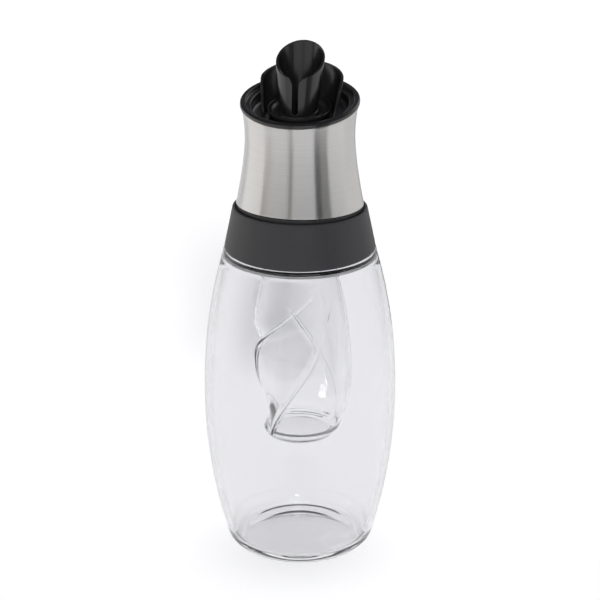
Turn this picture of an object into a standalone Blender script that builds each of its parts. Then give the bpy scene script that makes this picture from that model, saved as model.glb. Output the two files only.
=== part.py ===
"""Dual oil and vinegar dispenser.

A bellied glass bottle holds the oil, and a twisted teardrop vessel inside it holds the vinegar.
A stopper with a grey grip band closes the neck. A steel head turns on the band and opens either
the oil way or the vinegar way, or both, into two black spouts that stand in a drip cup.

Lengths are metres. The origin is on the table, at the middle of the bottle's foot. The spouts
pour towards +Y, and their open slots face -Y.
"""

import math
from collections import namedtuple

import bpy
from mathutils import Matrix, Vector

# Fits and detail that all pieces share
GAP = 0.0003
OVERRUN = 0.003
EDGE = 0.0004
AROUND = 32
AROUND_SPOUT = 24
AROUND_SMALL = 16
AROUND_SCREW = 12
SHARP_ANGLE_DEG = 35

# Glass bottle
BELLY_RADIUS = 0.042
BELLY_HEIGHT = 0.073
SHOULDER_RADIUS = 0.0331
SHOULDER_HEIGHT = 0.138
SHOULDER_ROUND = 0.001
UPPER_FULLNESS_SHARE = 2.1
LOWER_FULLNESS_SHARE = 2.05
HEEL_RADIUS = 0.03226
HEEL_HEIGHT = 0.0059
FOOT_RING_RADIUS = 0.0247
FOOT_RING_WIDTH = 0.001
PUNT_HEIGHT = 0.0045
GLASS_WALL = 0.0028
BASE_THICKNESS = 0.005
INNER_FLOOR_RADIUS = 0.0278
NECK_BORE_RADIUS = 0.024
NECK_WALL = 0.003
NECK_HEIGHT = 0.012

# Stopper plug, its seals and the pad under the grip band
PLUG_CLEARANCE = 0.0006
PLUG_DEPTH = 0.0123
FLANGE_HEIGHT = 0.0037
PLUG_WEB = 0.0012
OIL_SLOT_WIDTH = 0.0021
OIL_SLOT_ARC_DEG = 70
OIL_SLOT_COUNT = 3
BOTTLE_SEAL_DEPTH = 0.0012
BOTTLE_SEAL_HEIGHT = 0.004
BOTTLE_SEAL_RISE = 0.004
VESSEL_SEAL_DEPTH = 0.001
VESSEL_SEAL_HEIGHT = 0.0024
VESSEL_SEAL_RISE = 0.003
RIB_ROOT_SHARE = 0.5
CHAMBER_DEPTH = 0.0021
CEILING_THICKNESS = 0.0024
PAD_THICKNESS = 0.0006
PAD_WIDTH = 0.0032

# Ports, and the plates that hold them
VINEGAR_PORT_RADIUS = 0.004
OIL_PORT_RADIUS = 0.012
PORT_WIDTH = 0.004
PORT_HALF_ARC_DEG = 30
FIXED_PORT_NEAR_DEG = 5
FIXED_PORT_FAR_DEG = 65
DIVIDER_WALL = 0.0012
PLATE_SEAT_WIDTH = 0.0012
PLATE_THICKNESS = 0.0016
GASKET_THICKNESS = 0.0012
VALVE_THICKNESS = 0.002
VALVE_CLEARANCE = 0.0012
POST_RADIUS = 0.0022
SCREW_RADIUS = 0.0009
SCREW_HEAD_RADIUS = 0.0019
SCREW_LENGTH = 0.0032
PLATE_SCREW_ANGLES_DEG = (30, 190, 270)

# Pivot screw, washer and nut
PIVOT_RADIUS = 0.0015
PIVOT_HEAD_RADIUS = 0.003
PIVOT_HEAD_HEIGHT = 0.0018
PIVOT_NUT_HEIGHT = 0.0017
WASHER_THICKNESS = 0.0004
WASHER_DISH = 0.0003

# Grey grip band, whose slanted cuff stands round the foot of the head
BAND_TOP_WALL = 0.0009
BAND_NECK_CLEARANCE = 0.0005
BAND_UPPER_WALL = 0.0015
BAND_SETBACK = 0.0003
BAND_ROUND = 0.001
CUFF_HEIGHT = 0.0014
CUFF_CLEARANCE = 0.0004
CUFF_SLOPE_SHARE = -0.045

# Turning stop: a lug on the band runs in a groove under the head
TWIST_LIMIT_DEG = 45
STOP_PLAY_DEG = 1
STOP_LUG_ARC_DEG = 10
STOP_LUG_WIDTH = 0.0014
STOP_LUG_HEIGHT = 0.0013

# Steel sleeve
SLEEVE_SETBACK = 0.0015
SLEEVE_HEIGHT = 0.0442
SLEEVE_WAIST_RADIUS = 0.02355
SLEEVE_TOP_FLARE = 0.00135
SLEEVE_WALL = 0.0008
WAIST_HEIGHT_SHARE = 0.679
SLEEVE_LOWER_CURVE_SHARE = 1.6
SLEEVE_UPPER_CURVE_SHARE = 2.0
FOOT_SLOPE_SHARE = -0.065
RIM_SLOPE_SHARE = 0.14

# Head core
CORE_CLEARANCE = 0.00045
CORE_FLOOR = 0.002
FOOT_LIP = 0.0004
FOOT_SETBACK = 0.0001
DUCT_WALL = 0.0016
DUCT_NEAR_RADIUS = 0.0086
DUCT_WIDTH = 0.0084
DUCT_HALF_ARC_DEG = 36
POCKET_ARC_DEG = 90
DRIVE_PEG_RADIUS = 0.0012
DRIVE_PEG_LENGTH = 0.0018
DUCT_GASKET_THICKNESS = 0.001

# Drip cup
LIP_OVERHANG = 0.0006
LIP_THICKNESS = 0.0019
LIP_WIDTH = 0.0024
LIP_STEP_DEPTH = 0.0016
CUP_WALL = 0.0015
CUP_DEPTH = 0.0065
CUP_FLOOR = 0.0016
CUP_SLOT_WIDTH = 0.0028
CUP_FLARE_SHARE = 0.5
CUP_STEP_SHARE = 0.3

# Vinegar spout: stem, dish and leaning slit tube
SPOUT_SETBACK = 0.003
STEM_BORE_RADIUS = 0.006
STEM_RADIUS = 0.0079
STEM_CLEARANCE = 0.0005
STEM_DEPTH = 0.0126
STEM_SEAL_DEPTH = 0.001
STEM_SEAL_HEIGHT = 0.002
STEM_SEAL_RISE = 0.003
DISH_RADIUS = 0.0136
DISH_FORWARD = 0.0015
DISH_HEIGHT = 0.0038
DISH_WALL = 0.0009
DISH_CONE_SHARE = 0.55
DISH_FLOOR_SHARE = 0.5
TUBE_BASE_RADIUS = 0.0082
TUBE_TOP_RADIUS = 0.0104
TUBE_WALL = 0.0011
TUBE_HEIGHT = 0.0232
TUBE_TOP_SHIFT = 0.0009
TUBE_SLOPE_SHARE = 0.54
TUBE_OUTER_RING_SHARES = (0, 0.35, 0.7, 0.97)
TUBE_INNER_RING_SHARES = (0.97, 0.5, 0)
SLIT_WIDTH = 0.0026
SLIT_MOUTH_RADIUS = 0.0032

# Oil spout: the half-open scoop
SCOOP_BASE_RADIUS = 0.0158
SCOOP_BASE_SHIFT = -0.0025
SCOOP_TOP_RADIUS = 0.0179
SCOOP_TOP_SHIFT = 0.003
SCOOP_HEIGHT = 0.0139
SCOOP_WALL = 0.0012
SCOOP_SLOPE_SHARE = 0.19
SCOOP_SEAT_DEPTH = 0.001
SCOOP_CORNER_RADIUS = 0.0035
SCOOP_RING_SHARES = (0.25, 0.5, 0.7, 0.8, 0.87, 0.93, 0.98, 1)
SCOOP_OPEN_EDGE_DEG = 4
SCOOP_SEAT_PLAY_DEG = 2

# Inner vessel
VESSEL_PASS_CLEARANCE = 0.0009
VESSEL_HEIGHT = 0.096
VESSEL_WALL = 0.0016
VESSEL_BASE_RADIUS = 0.0155
VESSEL_BASE_THICKNESS = 0.0022
VESSEL_PUSH_UP = 0.0008
VESSEL_HEEL = 0.0012
SOCKET_CLEARANCE = 0.0005
VESSEL_BELLY_SHARE = 0.3
VESSEL_CREASE_SHARE = 0.4
VESSEL_NECK_SHARE = 0.78
VESSEL_UPPER_CURVE_SHARE = 2.0
VESSEL_LOWER_CURVE_SHARE = 2.2
FLAT_BULGE_SHARE = 0.1
FLAT_FADE_SHARE = 0.1

# Each crease of the vessel: its direction at the crease height, how far it turns from there up
# to the neck and down to the base, its distance from the axis as a share of the round belly's,
# and how many faces the side after it has. A round side has no flat. A flat side has faded out
# to a round one at its end share of the vessel's height.
Crease = namedtuple("Crease", "azimuth_deg turn_up_deg turn_down_deg reach_share faces round_side "
                              "flat_end_share")
CREASES = (
    Crease(-166, 124, 57, 0.90, 10, False, VESSEL_NECK_SHARE),
    Crease(-65, 46, 65, 0.98, 16, True, VESSEL_NECK_SHARE),
    Crease(95, 66, 69, 0.98, 10, False, 0.56),
)

# Radii that follow from the sizes above
NECK_RADIUS = NECK_BORE_RADIUS + NECK_WALL
PLUG_RADIUS = NECK_BORE_RADIUS - PLUG_CLEARANCE
CHAMBER_RADIUS = PLUG_RADIUS - BOTTLE_SEAL_DEPTH - PLUG_WEB
WELL_RADIUS = CHAMBER_RADIUS + PLATE_SEAT_WIDTH
OIL_SLOT_INNER = CHAMBER_RADIUS - OIL_SLOT_WIDTH
SOCKET_RADIUS = OIL_SLOT_INNER - PLUG_WEB - VESSEL_SEAL_DEPTH
VESSEL_NECK_RADIUS = SOCKET_RADIUS - SOCKET_CLEARANCE
VESSEL_BELLY_RADIUS = NECK_BORE_RADIUS - VESSEL_PASS_CLEARANCE
VINEGAR_PORT_OUTER = VINEGAR_PORT_RADIUS + PORT_WIDTH
OIL_PORT_OUTER = OIL_PORT_RADIUS + PORT_WIDTH
DIVIDER_INNER = (VINEGAR_PORT_OUTER + OIL_PORT_RADIUS - DIVIDER_WALL) / 2
DIVIDER_OUTER = DIVIDER_INNER + DIVIDER_WALL
POST_CIRCLE = (OIL_PORT_RADIUS + OIL_PORT_OUTER) / 2
PLATE_RADIUS = WELL_RADIUS - GAP
VALVE_RADIUS = WELL_RADIUS - VALVE_CLEARANCE
BAND_BORE_RADIUS = NECK_RADIUS + BAND_NECK_CLEARANCE
BAND_TOP_RADIUS = BAND_BORE_RADIUS + BAND_UPPER_WALL
BAND_BOTTOM_RADIUS = SHOULDER_RADIUS - BAND_SETBACK
SLEEVE_BOTTOM_RADIUS = BAND_TOP_RADIUS - SLEEVE_SETBACK
SLEEVE_TOP_RADIUS = SLEEVE_WAIST_RADIUS + SLEEVE_TOP_FLARE
FOOT_RADIUS = SLEEVE_BOTTOM_RADIUS - FOOT_SETBACK
CUFF_RADIUS = SLEEVE_BOTTOM_RADIUS + CUFF_CLEARANCE
CORE_RADIUS = SLEEVE_WAIST_RADIUS - SLEEVE_WALL - CORE_CLEARANCE
STOP_CIRCLE = (WELL_RADIUS + FOOT_RADIUS) / 2
LIP_RADIUS = SLEEVE_TOP_RADIUS + LIP_OVERHANG
LIP_INNER = LIP_RADIUS - LIP_WIDTH
VINEGAR_DUCT_RADIUS = STEM_RADIUS + STEM_CLEARANCE
PEG_CIRCLE = (OIL_PORT_OUTER + VALVE_RADIUS) / 2

# Heights that follow, from the table up
LEDGE_Z = SHOULDER_HEIGHT + SHOULDER_ROUND
NECK_TOP_Z = LEDGE_Z + NECK_HEIGHT
PAD_Z = LEDGE_Z + GAP
PAD_TOP_Z = PAD_Z + PAD_THICKNESS
BAND_Z = LEDGE_Z + GAP
FLANGE_Z = NECK_TOP_Z + GAP
PLUG_Z = FLANGE_Z - PLUG_DEPTH
FLANGE_TOP_Z = FLANGE_Z + FLANGE_HEIGHT
PLATE_Z = FLANGE_TOP_Z - PLATE_THICKNESS
SEAT_Z = PLATE_Z - GAP
CHAMBER_Z = SEAT_Z - CHAMBER_DEPTH
CEILING_Z = CHAMBER_Z - CEILING_THICKNESS
GASKET_Z = FLANGE_TOP_Z + GAP
VALVE_Z = GASKET_Z + GASKET_THICKNESS + GAP
BAND_TOP_Z = FLANGE_TOP_Z + GAP + BAND_TOP_WALL
CUFF_Z = BAND_TOP_Z + CUFF_HEIGHT
FOOT_Z = BAND_TOP_Z + GAP
CORE_Z = VALVE_Z + VALVE_THICKNESS + GAP
CORE_FLOOR_Z = CORE_Z + CORE_FLOOR
SLEEVE_Z = FOOT_Z + FOOT_LIP + GAP - FOOT_SLOPE_SHARE * SLEEVE_BOTTOM_RADIUS
SLEEVE_TOP_Z = SLEEVE_Z + SLEEVE_HEIGHT
LIP_Z = SLEEVE_TOP_Z + GAP
RIM_Z = LIP_Z + LIP_THICKNESS
CUP_FLOOR_Z = RIM_Z - CUP_DEPTH
CUP_Z = CUP_FLOOR_Z - CUP_FLOOR
DUCT_GASKET_Z = CUP_Z - GAP - DUCT_GASKET_THICKNESS
CORE_TOP_Z = DUCT_GASKET_Z - GAP
VESSEL_TOP_Z = CEILING_Z - GAP
VESSEL_Z = VESSEL_TOP_Z - VESSEL_HEIGHT
VESSEL_BELLY_Z = VESSEL_Z + VESSEL_BELLY_SHARE * VESSEL_HEIGHT
VESSEL_CREASE_Z = VESSEL_Z + VESSEL_CREASE_SHARE * VESSEL_HEIGHT
VESSEL_NECK_Z = VESSEL_Z + VESSEL_NECK_SHARE * VESSEL_HEIGHT
STEM_Z = CUP_FLOOR_Z - STEM_DEPTH
STEM_SEAL_Z = STEM_Z + STEM_SEAL_RISE

# Directions seen from above, counted from +X towards +Y
RIGHT_DEG = 0
BACK_DEG = 90
LEFT_DEG = 180
FRONT_DEG = -90


# Points, rings and outlines

def mix(low, high, share):
    """The value that lies at a share of the way from low to high."""
    return low + (high - low) * share


def ease(share):
    """A share from 0 to 1 that starts and ends gently."""
    share = min(max(share, 0.0), 1.0)
    return share * share * (3 - 2 * share)


def spread(low, high, steps):
    """Evenly spaced values from low to high, both included."""
    return [mix(low, high, step / steps) for step in range(steps + 1)]


def arc(centre_radius, centre_z, reach_radius, reach_z, start_deg, end_deg, steps):
    """Outline points (radius, height) on an elliptical arc."""
    angles = [math.radians(angle) for angle in spread(start_deg, end_deg, steps)]
    return [(centre_radius + reach_radius * math.cos(angle), centre_z + reach_z * math.sin(angle))
            for angle in angles]


def ring(radius, height, shift=0.0, slope=0.0, around=AROUND):
    """One ring of points. Its plane rises by slope towards +Y, and it is moved by shift in Y."""
    points = []
    for step in range(around if radius > 0 else 1):
        angle = math.tau * step / around
        across = radius * math.cos(angle)
        along = shift + radius * math.sin(angle)
        points.append(Vector((across, along, height + slope * along)))
    return points


# Meshes and objects

def new_object(name, vertices, faces, material=None):
    """An object in the scene from vertices and faces, shaded smooth but for its sharp edges."""
    mesh = bpy.data.meshes.new(name)
    mesh.from_pydata([tuple(vertex) for vertex in vertices], [], faces)
    mesh.shade_smooth()
    mesh.set_sharp_from_angle(angle=math.radians(SHARP_ANGLE_DEG))
    piece = bpy.data.objects.new(name, mesh)
    bpy.context.scene.collection.objects.link(piece)
    if material:
        mesh.materials.append(material)
    return piece


def wall(name, rings, material=None, capped=False):
    """A solid whose skin runs through the rings in order: up the outside, down the inside.

    Its two ends are closed by flat caps, or each by a ring of one point. Without either the last
    ring joins the first.
    """
    vertices = [point for points in rings for point in points]
    starts = [0]
    for points in rings:
        starts.append(starts[-1] + len(points))
    faces = []
    pairs = [(index, index + 1) for index in range(len(rings) - 1)]
    if capped:
        faces.append(tuple(reversed(range(starts[1]))))
        faces.append(tuple(range(starts[-2], starts[-1])))
    elif len(rings[0]) > 1 and len(rings[-1]) > 1:
        pairs.append((len(rings) - 1, 0))
    for lower, upper in pairs:
        low, high = starts[lower], starts[upper]
        count = max(len(rings[lower]), len(rings[upper]))
        for step in range(count):
            after = (step + 1) % count
            if len(rings[lower]) == 1:
                faces.append((low, high + after, high + step))
            elif len(rings[upper]) == 1:
                faces.append((low + step, low + after, high))
            else:
                faces.append((low + step, low + after, high + after, high + step))
    return new_object(name, vertices, faces, material)


def turned(name, outline, material=None, slope=0.0, around=AROUND, capped=False):
    """A solid of revolution about the main axis."""
    rings = [ring(radius, height, slope=slope, around=around) for radius, height in outline]
    return wall(name, rings, material, capped)


def disc(name, radius, low, high, material=None, slope=0.0, around=AROUND):
    """A plain round plate between two heights."""
    return turned(name, [(radius, low), (radius, high)], material, slope, around, capped=True)


def prism(name, outline, low, high, slope=0.0, material=None):
    """A solid with a flat outline of (x, y) points, from height low to height high."""
    count = len(outline)
    vertices = []
    for height in (low, high):
        vertices += [Vector((x, y, height + slope * y)) for x, y in outline]
    faces = [tuple(reversed(range(count))), tuple(range(count, 2 * count))]
    for step in range(count):
        after = (step + 1) % count
        faces.append((step, after, count + after, count + step))
    return new_object(name, vertices, faces, material)


def sector(inner, outer, start_deg, end_deg, shift=0.0, steps=6):
    """The flat outline of a curved slot, anticlockwise, about a centre that is moved in Y."""
    points = []
    for radius, angles in ((outer, spread(start_deg, end_deg, steps)),
                           (inner, spread(end_deg, start_deg, steps))):
        for angle in angles:
            turn = math.radians(angle)
            points.append((radius * math.cos(turn), shift + radius * math.sin(turn)))
    return points


def circle(radius, centre_x=0.0, centre_y=0.0, around=AROUND_SMALL):
    """A flat round outline."""
    turns = [math.tau * step / around for step in range(around)]
    return [(centre_x + radius * math.cos(turn), centre_y + radius * math.sin(turn))
            for turn in turns]


def place_on_circle(radius, angle_deg):
    """The (x, y) place on a circle about the main axis."""
    turn = math.radians(angle_deg)
    return radius * math.cos(turn), radius * math.sin(turn)


def combine(piece, other, operation):
    """Cut the other shape out of the piece, or join it on. The other shape is only a guide."""
    change = piece.modifiers.new(other.name, "BOOLEAN")
    change.operation = operation
    change.object = other
    other.hide_render = True
    other.display_type = "WIRE"


def cut(piece, cutter):
    combine(piece, cutter, "DIFFERENCE")


def join(piece, addition):
    combine(piece, addition, "UNION")


def pivot(name, height, parent=None):
    """An empty on the main axis that carries the pieces of one moving group."""
    empty = bpy.data.objects.new(name, None)
    empty.empty_display_size = NECK_RADIUS
    bpy.context.scene.collection.objects.link(empty)
    empty.location = (0, 0, height)
    if parent:
        empty.parent = parent
        empty.location.z = height - parent.location.z
    return empty


def carry(pieces, empty, height):
    """Hang pieces on a group's empty, with their origins at its height on the main axis."""
    for mesh in {piece.data for piece in pieces}:
        mesh.transform(Matrix.Translation((0, 0, -height)))
    for piece in pieces:
        piece.parent = empty


# Materials

def finish(name, colour, roughness, metallic=0.0, transmission=0.0):
    """A plain Principled material."""
    material = bpy.data.materials.new(name)
    material.use_nodes = True
    shader = material.node_tree.nodes["Principled BSDF"]
    shader.inputs["Base Color"].default_value = (*colour, 1.0)
    shader.inputs["Roughness"].default_value = roughness
    shader.inputs["Metallic"].default_value = metallic
    shader.inputs["Transmission Weight"].default_value = transmission
    return material


# The bottle

def body_radius(height):
    """Outer radius of the bottle's belly at a height between the heel and the shoulder."""
    if height >= BELLY_HEIGHT:
        rise_share = (height - BELLY_HEIGHT) / (SHOULDER_HEIGHT - BELLY_HEIGHT)
        return mix(BELLY_RADIUS, SHOULDER_RADIUS, rise_share ** UPPER_FULLNESS_SHARE)
    fall_share = (BELLY_HEIGHT - height) / (BELLY_HEIGHT - HEEL_HEIGHT)
    return mix(BELLY_RADIUS, HEEL_RADIUS, fall_share ** LOWER_FULLNESS_SHARE)


def dome(radius, rim_z, rise, steps):
    """Outline of a shallow dome, from its top on the axis out to its rim."""
    return [(radius * share, rim_z + rise * (1 - share * share)) for share in spread(0, 1, steps)]


def heel_arc(ring_radius, ring_z, wall_radius, wall_z, steps):
    """Outline of a heel from its ring up to the wall, which it meets without an edge."""
    flare = (BELLY_RADIUS - HEEL_RADIUS) * LOWER_FULLNESS_SHARE / (BELLY_HEIGHT - HEEL_HEIGHT)
    lean = math.atan(flare)
    reach_radius = (wall_radius - ring_radius) / math.cos(lean)
    reach_z = (wall_z - ring_z) / (1 - math.sin(lean))
    return arc(ring_radius, ring_z + reach_z, reach_radius, reach_z,
               -90, -math.degrees(lean), steps)


def outer_bottle(glass):
    inner_shoulder_z = LEDGE_Z - GLASS_WALL
    inner_top_z = inner_shoulder_z - GLASS_WALL
    inner_heel_z = HEEL_HEIGHT + BASE_THICKNESS
    inner_heel_radius = body_radius(inner_heel_z) - GLASS_WALL
    belly = spread(HEEL_HEIGHT, BELLY_HEIGHT, 5) + spread(BELLY_HEIGHT, SHOULDER_HEIGHT, 5)[1:]
    inside = spread(inner_top_z, BELLY_HEIGHT, 3) + spread(BELLY_HEIGHT, inner_heel_z, 4)[1:-1]
    lip = NECK_WALL / 4
    outline = dome(FOOT_RING_RADIUS - FOOT_RING_WIDTH, 0, PUNT_HEIGHT, 3)
    outline += heel_arc(FOOT_RING_RADIUS, 0, HEEL_RADIUS, HEEL_HEIGHT, 4)[:-1]
    outline += [(body_radius(height), height) for height in belly]
    outline += arc(SHOULDER_RADIUS - SHOULDER_ROUND, SHOULDER_HEIGHT,
                   SHOULDER_ROUND, SHOULDER_ROUND, 0, 90, 2)[1:]
    outline += [(NECK_RADIUS, LEDGE_Z), (NECK_RADIUS, NECK_TOP_Z - lip)]
    outline += [(NECK_RADIUS - lip, NECK_TOP_Z), (NECK_BORE_RADIUS + lip, NECK_TOP_Z)]
    outline += [(NECK_BORE_RADIUS, NECK_TOP_Z - lip), (NECK_BORE_RADIUS, inner_shoulder_z)]
    outline += [(body_radius(inner_top_z) - 2 * GLASS_WALL, inner_shoulder_z)]
    outline += [(body_radius(height) - GLASS_WALL, height) for height in inside]
    outline += reversed(heel_arc(INNER_FLOOR_RADIUS, BASE_THICKNESS,
                                 inner_heel_radius, inner_heel_z, 3))
    outline += list(reversed(dome(INNER_FLOOR_RADIUS, BASE_THICKNESS, PUNT_HEIGHT, 3)))[1:]
    return turned("outer_bottle", outline, glass)


# The inner vessel

def vessel_radius(height):
    """Radius of the round belly that the vessel's flats are cut into."""
    if height >= VESSEL_BELLY_Z:
        rise_share = min((height - VESSEL_BELLY_Z) / (VESSEL_NECK_Z - VESSEL_BELLY_Z), 1)
        return mix(VESSEL_BELLY_RADIUS, VESSEL_NECK_RADIUS, rise_share ** VESSEL_UPPER_CURVE_SHARE)
    fall_share = (VESSEL_BELLY_Z - height) / (VESSEL_BELLY_Z - VESSEL_Z)
    return mix(VESSEL_BELLY_RADIUS, VESSEL_BASE_RADIUS, fall_share ** VESSEL_LOWER_CURVE_SHARE)


def flat_bulge(height, end_share=VESSEL_NECK_SHARE):
    """How round a flat side is at a height: nearly flat in the middle, round at both ends."""
    up = (height - VESSEL_CREASE_Z) / ((end_share - VESSEL_CREASE_SHARE) * VESSEL_HEIGHT)
    down = 1 - (height - VESSEL_Z) / (FLAT_FADE_SHARE * VESSEL_HEIGHT)
    return mix(FLAT_BULGE_SHARE, 1, ease(max(up, down)))


def crease_place(crease, height):
    """Direction in radians and distance share of one crease at a height."""
    if height >= VESSEL_CREASE_Z:
        turn_share = (height - VESSEL_CREASE_Z) / (VESSEL_NECK_Z - VESSEL_CREASE_Z)
        turn_deg = crease.turn_up_deg * min(turn_share, 1)
    else:
        turn_share = (VESSEL_CREASE_Z - height) / (VESSEL_CREASE_Z - VESSEL_Z)
        turn_deg = -crease.turn_down_deg * turn_share
    reach_share = mix(crease.reach_share, 1, flat_bulge(height))
    return math.radians(crease.azimuth_deg + turn_deg), reach_share


def vessel_ring(height, inset):
    """One ring of the vessel, with a point on each crease, drawn in by inset."""
    radius = vessel_radius(height) - inset
    points = []
    for index, crease in enumerate(CREASES):
        following = CREASES[(index + 1) % len(CREASES)]
        start, start_share = crease_place(crease, height)
        end, end_share = crease_place(following, height)
        if end < start:
            end += math.tau
        first = Vector((math.cos(start), math.sin(start))) * start_share
        last = Vector((math.cos(end), math.sin(end))) * end_share
        bulge = 1 if crease.round_side else flat_bulge(height, crease.flat_end_share)
        for step in range(crease.faces):
            share = step / crease.faces
            angle = mix(start, end, share)
            round_point = Vector((math.cos(angle), math.sin(angle)))
            round_point *= mix(start_share, end_share, share)
            flat_point = first.lerp(last, share)
            place = flat_point.lerp(round_point, bulge) * radius
            points.append(Vector((place.x, place.y, height)))
    return points


def inner_vessel(clear_plastic):
    floor_z = VESSEL_Z + VESSEL_BASE_THICKNESS
    flats = spread(VESSEL_Z + VESSEL_HEEL, VESSEL_NECK_Z, 14)
    hollow = [height for height in reversed(flats) if height > floor_z + VESSEL_HEEL]
    hollow += [floor_z + VESSEL_HEEL]
    lip = VESSEL_WALL / 4
    rings = [[Vector((0, 0, VESSEL_Z + VESSEL_PUSH_UP))]]
    rings += [vessel_ring(VESSEL_Z, VESSEL_HEEL)]
    rings += [vessel_ring(height, 0) for height in flats]
    rings += [vessel_ring(VESSEL_TOP_Z - lip, 0), vessel_ring(VESSEL_TOP_Z, lip)]
    rings += [vessel_ring(VESSEL_TOP_Z, VESSEL_WALL - lip)]
    rings += [vessel_ring(VESSEL_TOP_Z - lip, VESSEL_WALL)]
    rings += [vessel_ring(height, VESSEL_WALL) for height in hollow]
    rings += [vessel_ring(floor_z, VESSEL_WALL + VESSEL_HEEL)]
    rings += [[Vector((0, 0, floor_z + VESSEL_PUSH_UP))]]
    return wall("inner_vessel", rings, clear_plastic)


# The stopper: plug, seals, band and pad

def stopper_plug(black_plastic):
    seal_groove = PLUG_RADIUS - BOTTLE_SEAL_DEPTH
    seal_low = PLUG_Z + BOTTLE_SEAL_RISE
    seal_high = seal_low + BOTTLE_SEAL_HEIGHT
    socket_groove = SOCKET_RADIUS + VESSEL_SEAL_DEPTH
    ring_low = PLUG_Z + VESSEL_SEAL_RISE
    ring_high = ring_low + VESSEL_SEAL_HEIGHT
    outline = [
        (PLUG_RADIUS - EDGE, PLUG_Z), (PLUG_RADIUS, PLUG_Z + EDGE),
        (PLUG_RADIUS, seal_low), (seal_groove, seal_low),
        (seal_groove, seal_high), (PLUG_RADIUS, seal_high),
        (PLUG_RADIUS, FLANGE_Z), (NECK_RADIUS, FLANGE_Z),
        (NECK_RADIUS, FLANGE_TOP_Z), (WELL_RADIUS, FLANGE_TOP_Z),
        (WELL_RADIUS, SEAT_Z), (CHAMBER_RADIUS, SEAT_Z),
        (CHAMBER_RADIUS, CHAMBER_Z), (DIVIDER_OUTER, CHAMBER_Z),
        (DIVIDER_OUTER, SEAT_Z), (DIVIDER_INNER, SEAT_Z),
        (DIVIDER_INNER, CEILING_Z), (SOCKET_RADIUS, CEILING_Z),
        (SOCKET_RADIUS, ring_high), (socket_groove, ring_high),
        (socket_groove, ring_low), (SOCKET_RADIUS, ring_low),
        (SOCKET_RADIUS, PLUG_Z + EDGE), (SOCKET_RADIUS + EDGE, PLUG_Z),
    ]
    plug = turned("stopper_plug", outline, black_plastic)
    for number, angle in enumerate(PLATE_SCREW_ANGLES_DEG):
        place = place_on_circle(POST_CIRCLE, angle)
        post = circle(POST_RADIUS, *place, around=AROUND_SCREW)
        join(plug, prism(f"post_{number}", post, CHAMBER_Z - EDGE, SEAT_Z))
        pilot = circle(SCREW_RADIUS + GAP, *place, around=AROUND_SCREW)
        low = SEAT_Z - CHAMBER_DEPTH - EDGE
        cut(plug, prism(f"pilot_{number}", pilot, low, SEAT_Z + OVERRUN))
    for number, angle in enumerate(spread(BACK_DEG, BACK_DEG + 360, OIL_SLOT_COUNT)[:-1]):
        half = OIL_SLOT_ARC_DEG / 2
        slot = sector(OIL_SLOT_INNER, CHAMBER_RADIUS, angle - half, angle + half)
        cut(plug, prism(f"oil_slot_{number}", slot, PLUG_Z - OVERRUN, CHAMBER_Z + OVERRUN / 2))
    return plug


def seal_ring(name, inner, outer, low, high, ribs, rubber, around=AROUND):
    """A soft ring with pointed ribs round its outer side."""
    outline = [(inner, high), (inner, low)]
    rib_height = (high - low) / ribs
    for rib in range(ribs):
        start = low + rib * rib_height
        outline += [(mix(inner, outer, RIB_ROOT_SHARE), start), (outer, start + rib_height / 2)]
    outline.append((mix(inner, outer, RIB_ROOT_SHARE), high))
    return turned(name, outline, rubber, around=around)


def bottle_seal(rubber):
    low = PLUG_Z + BOTTLE_SEAL_RISE + GAP
    high = low + BOTTLE_SEAL_HEIGHT - 2 * GAP
    inner = PLUG_RADIUS - BOTTLE_SEAL_DEPTH + GAP
    return seal_ring("bottle_seal", inner, NECK_BORE_RADIUS - GAP, low, high, 2, rubber)


def vessel_seal(rubber):
    low = PLUG_Z + VESSEL_SEAL_RISE + GAP
    high = low + VESSEL_SEAL_HEIGHT - 2 * GAP
    outer = SOCKET_RADIUS + VESSEL_SEAL_DEPTH - GAP
    inner = VESSEL_NECK_RADIUS + GAP
    middle = (low + high) / 2
    bulge = mix(inner, outer, RIB_ROOT_SHARE)
    outline = [(outer, low), (outer, high), (bulge, high), (inner, middle), (bulge, low)]
    return turned("vessel_seal", outline, rubber)


def band_radius(height):
    """Outer radius of the grip band, a plain cone from its foot to its cuff."""
    share = (height - BAND_Z) / (CUFF_Z - BAND_Z)
    return mix(BAND_BOTTOM_RADIUS, BAND_TOP_RADIUS, share)


def neck_collar(grey_grip):
    corner_z = BAND_Z + BAND_ROUND
    corner = band_radius(corner_z)
    pad_recess = BAND_BORE_RADIUS + PAD_WIDTH + GAP
    outside = arc(corner - BAND_ROUND, corner_z, BAND_ROUND, BAND_ROUND, -90, 0, 3)
    outside += [(band_radius(height), height) for height in spread(corner_z, CUFF_Z, 3)[1:-1]]
    cuff = [(BAND_TOP_RADIUS, CUFF_Z - EDGE), (BAND_TOP_RADIUS - EDGE, CUFF_Z),
            (CUFF_RADIUS, CUFF_Z)]
    inside = [
        (CUFF_RADIUS, BAND_TOP_Z), (WELL_RADIUS, BAND_TOP_Z),
        (WELL_RADIUS, FLANGE_TOP_Z + GAP), (BAND_BORE_RADIUS, FLANGE_TOP_Z + GAP),
        (BAND_BORE_RADIUS, PAD_TOP_Z + GAP), (pad_recess, PAD_TOP_Z + GAP),
        (pad_recess, BAND_Z),
    ]
    rings = [ring(radius, height) for radius, height in outside]
    rings += [ring(radius, height, slope=CUFF_SLOPE_SHARE) for radius, height in cuff]
    rings += [ring(radius, height) for radius, height in inside]
    band = wall("neck_collar", rings, grey_grip)
    half = STOP_LUG_ARC_DEG / 2
    lug = sector(STOP_CIRCLE - STOP_LUG_WIDTH / 2, STOP_CIRCLE + STOP_LUG_WIDTH / 2,
                 FRONT_DEG - half, FRONT_DEG + half, steps=2)
    join(band, prism("stop_lug", lug, BAND_TOP_Z - EDGE, BAND_TOP_Z + STOP_LUG_HEIGHT))
    return band


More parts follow.
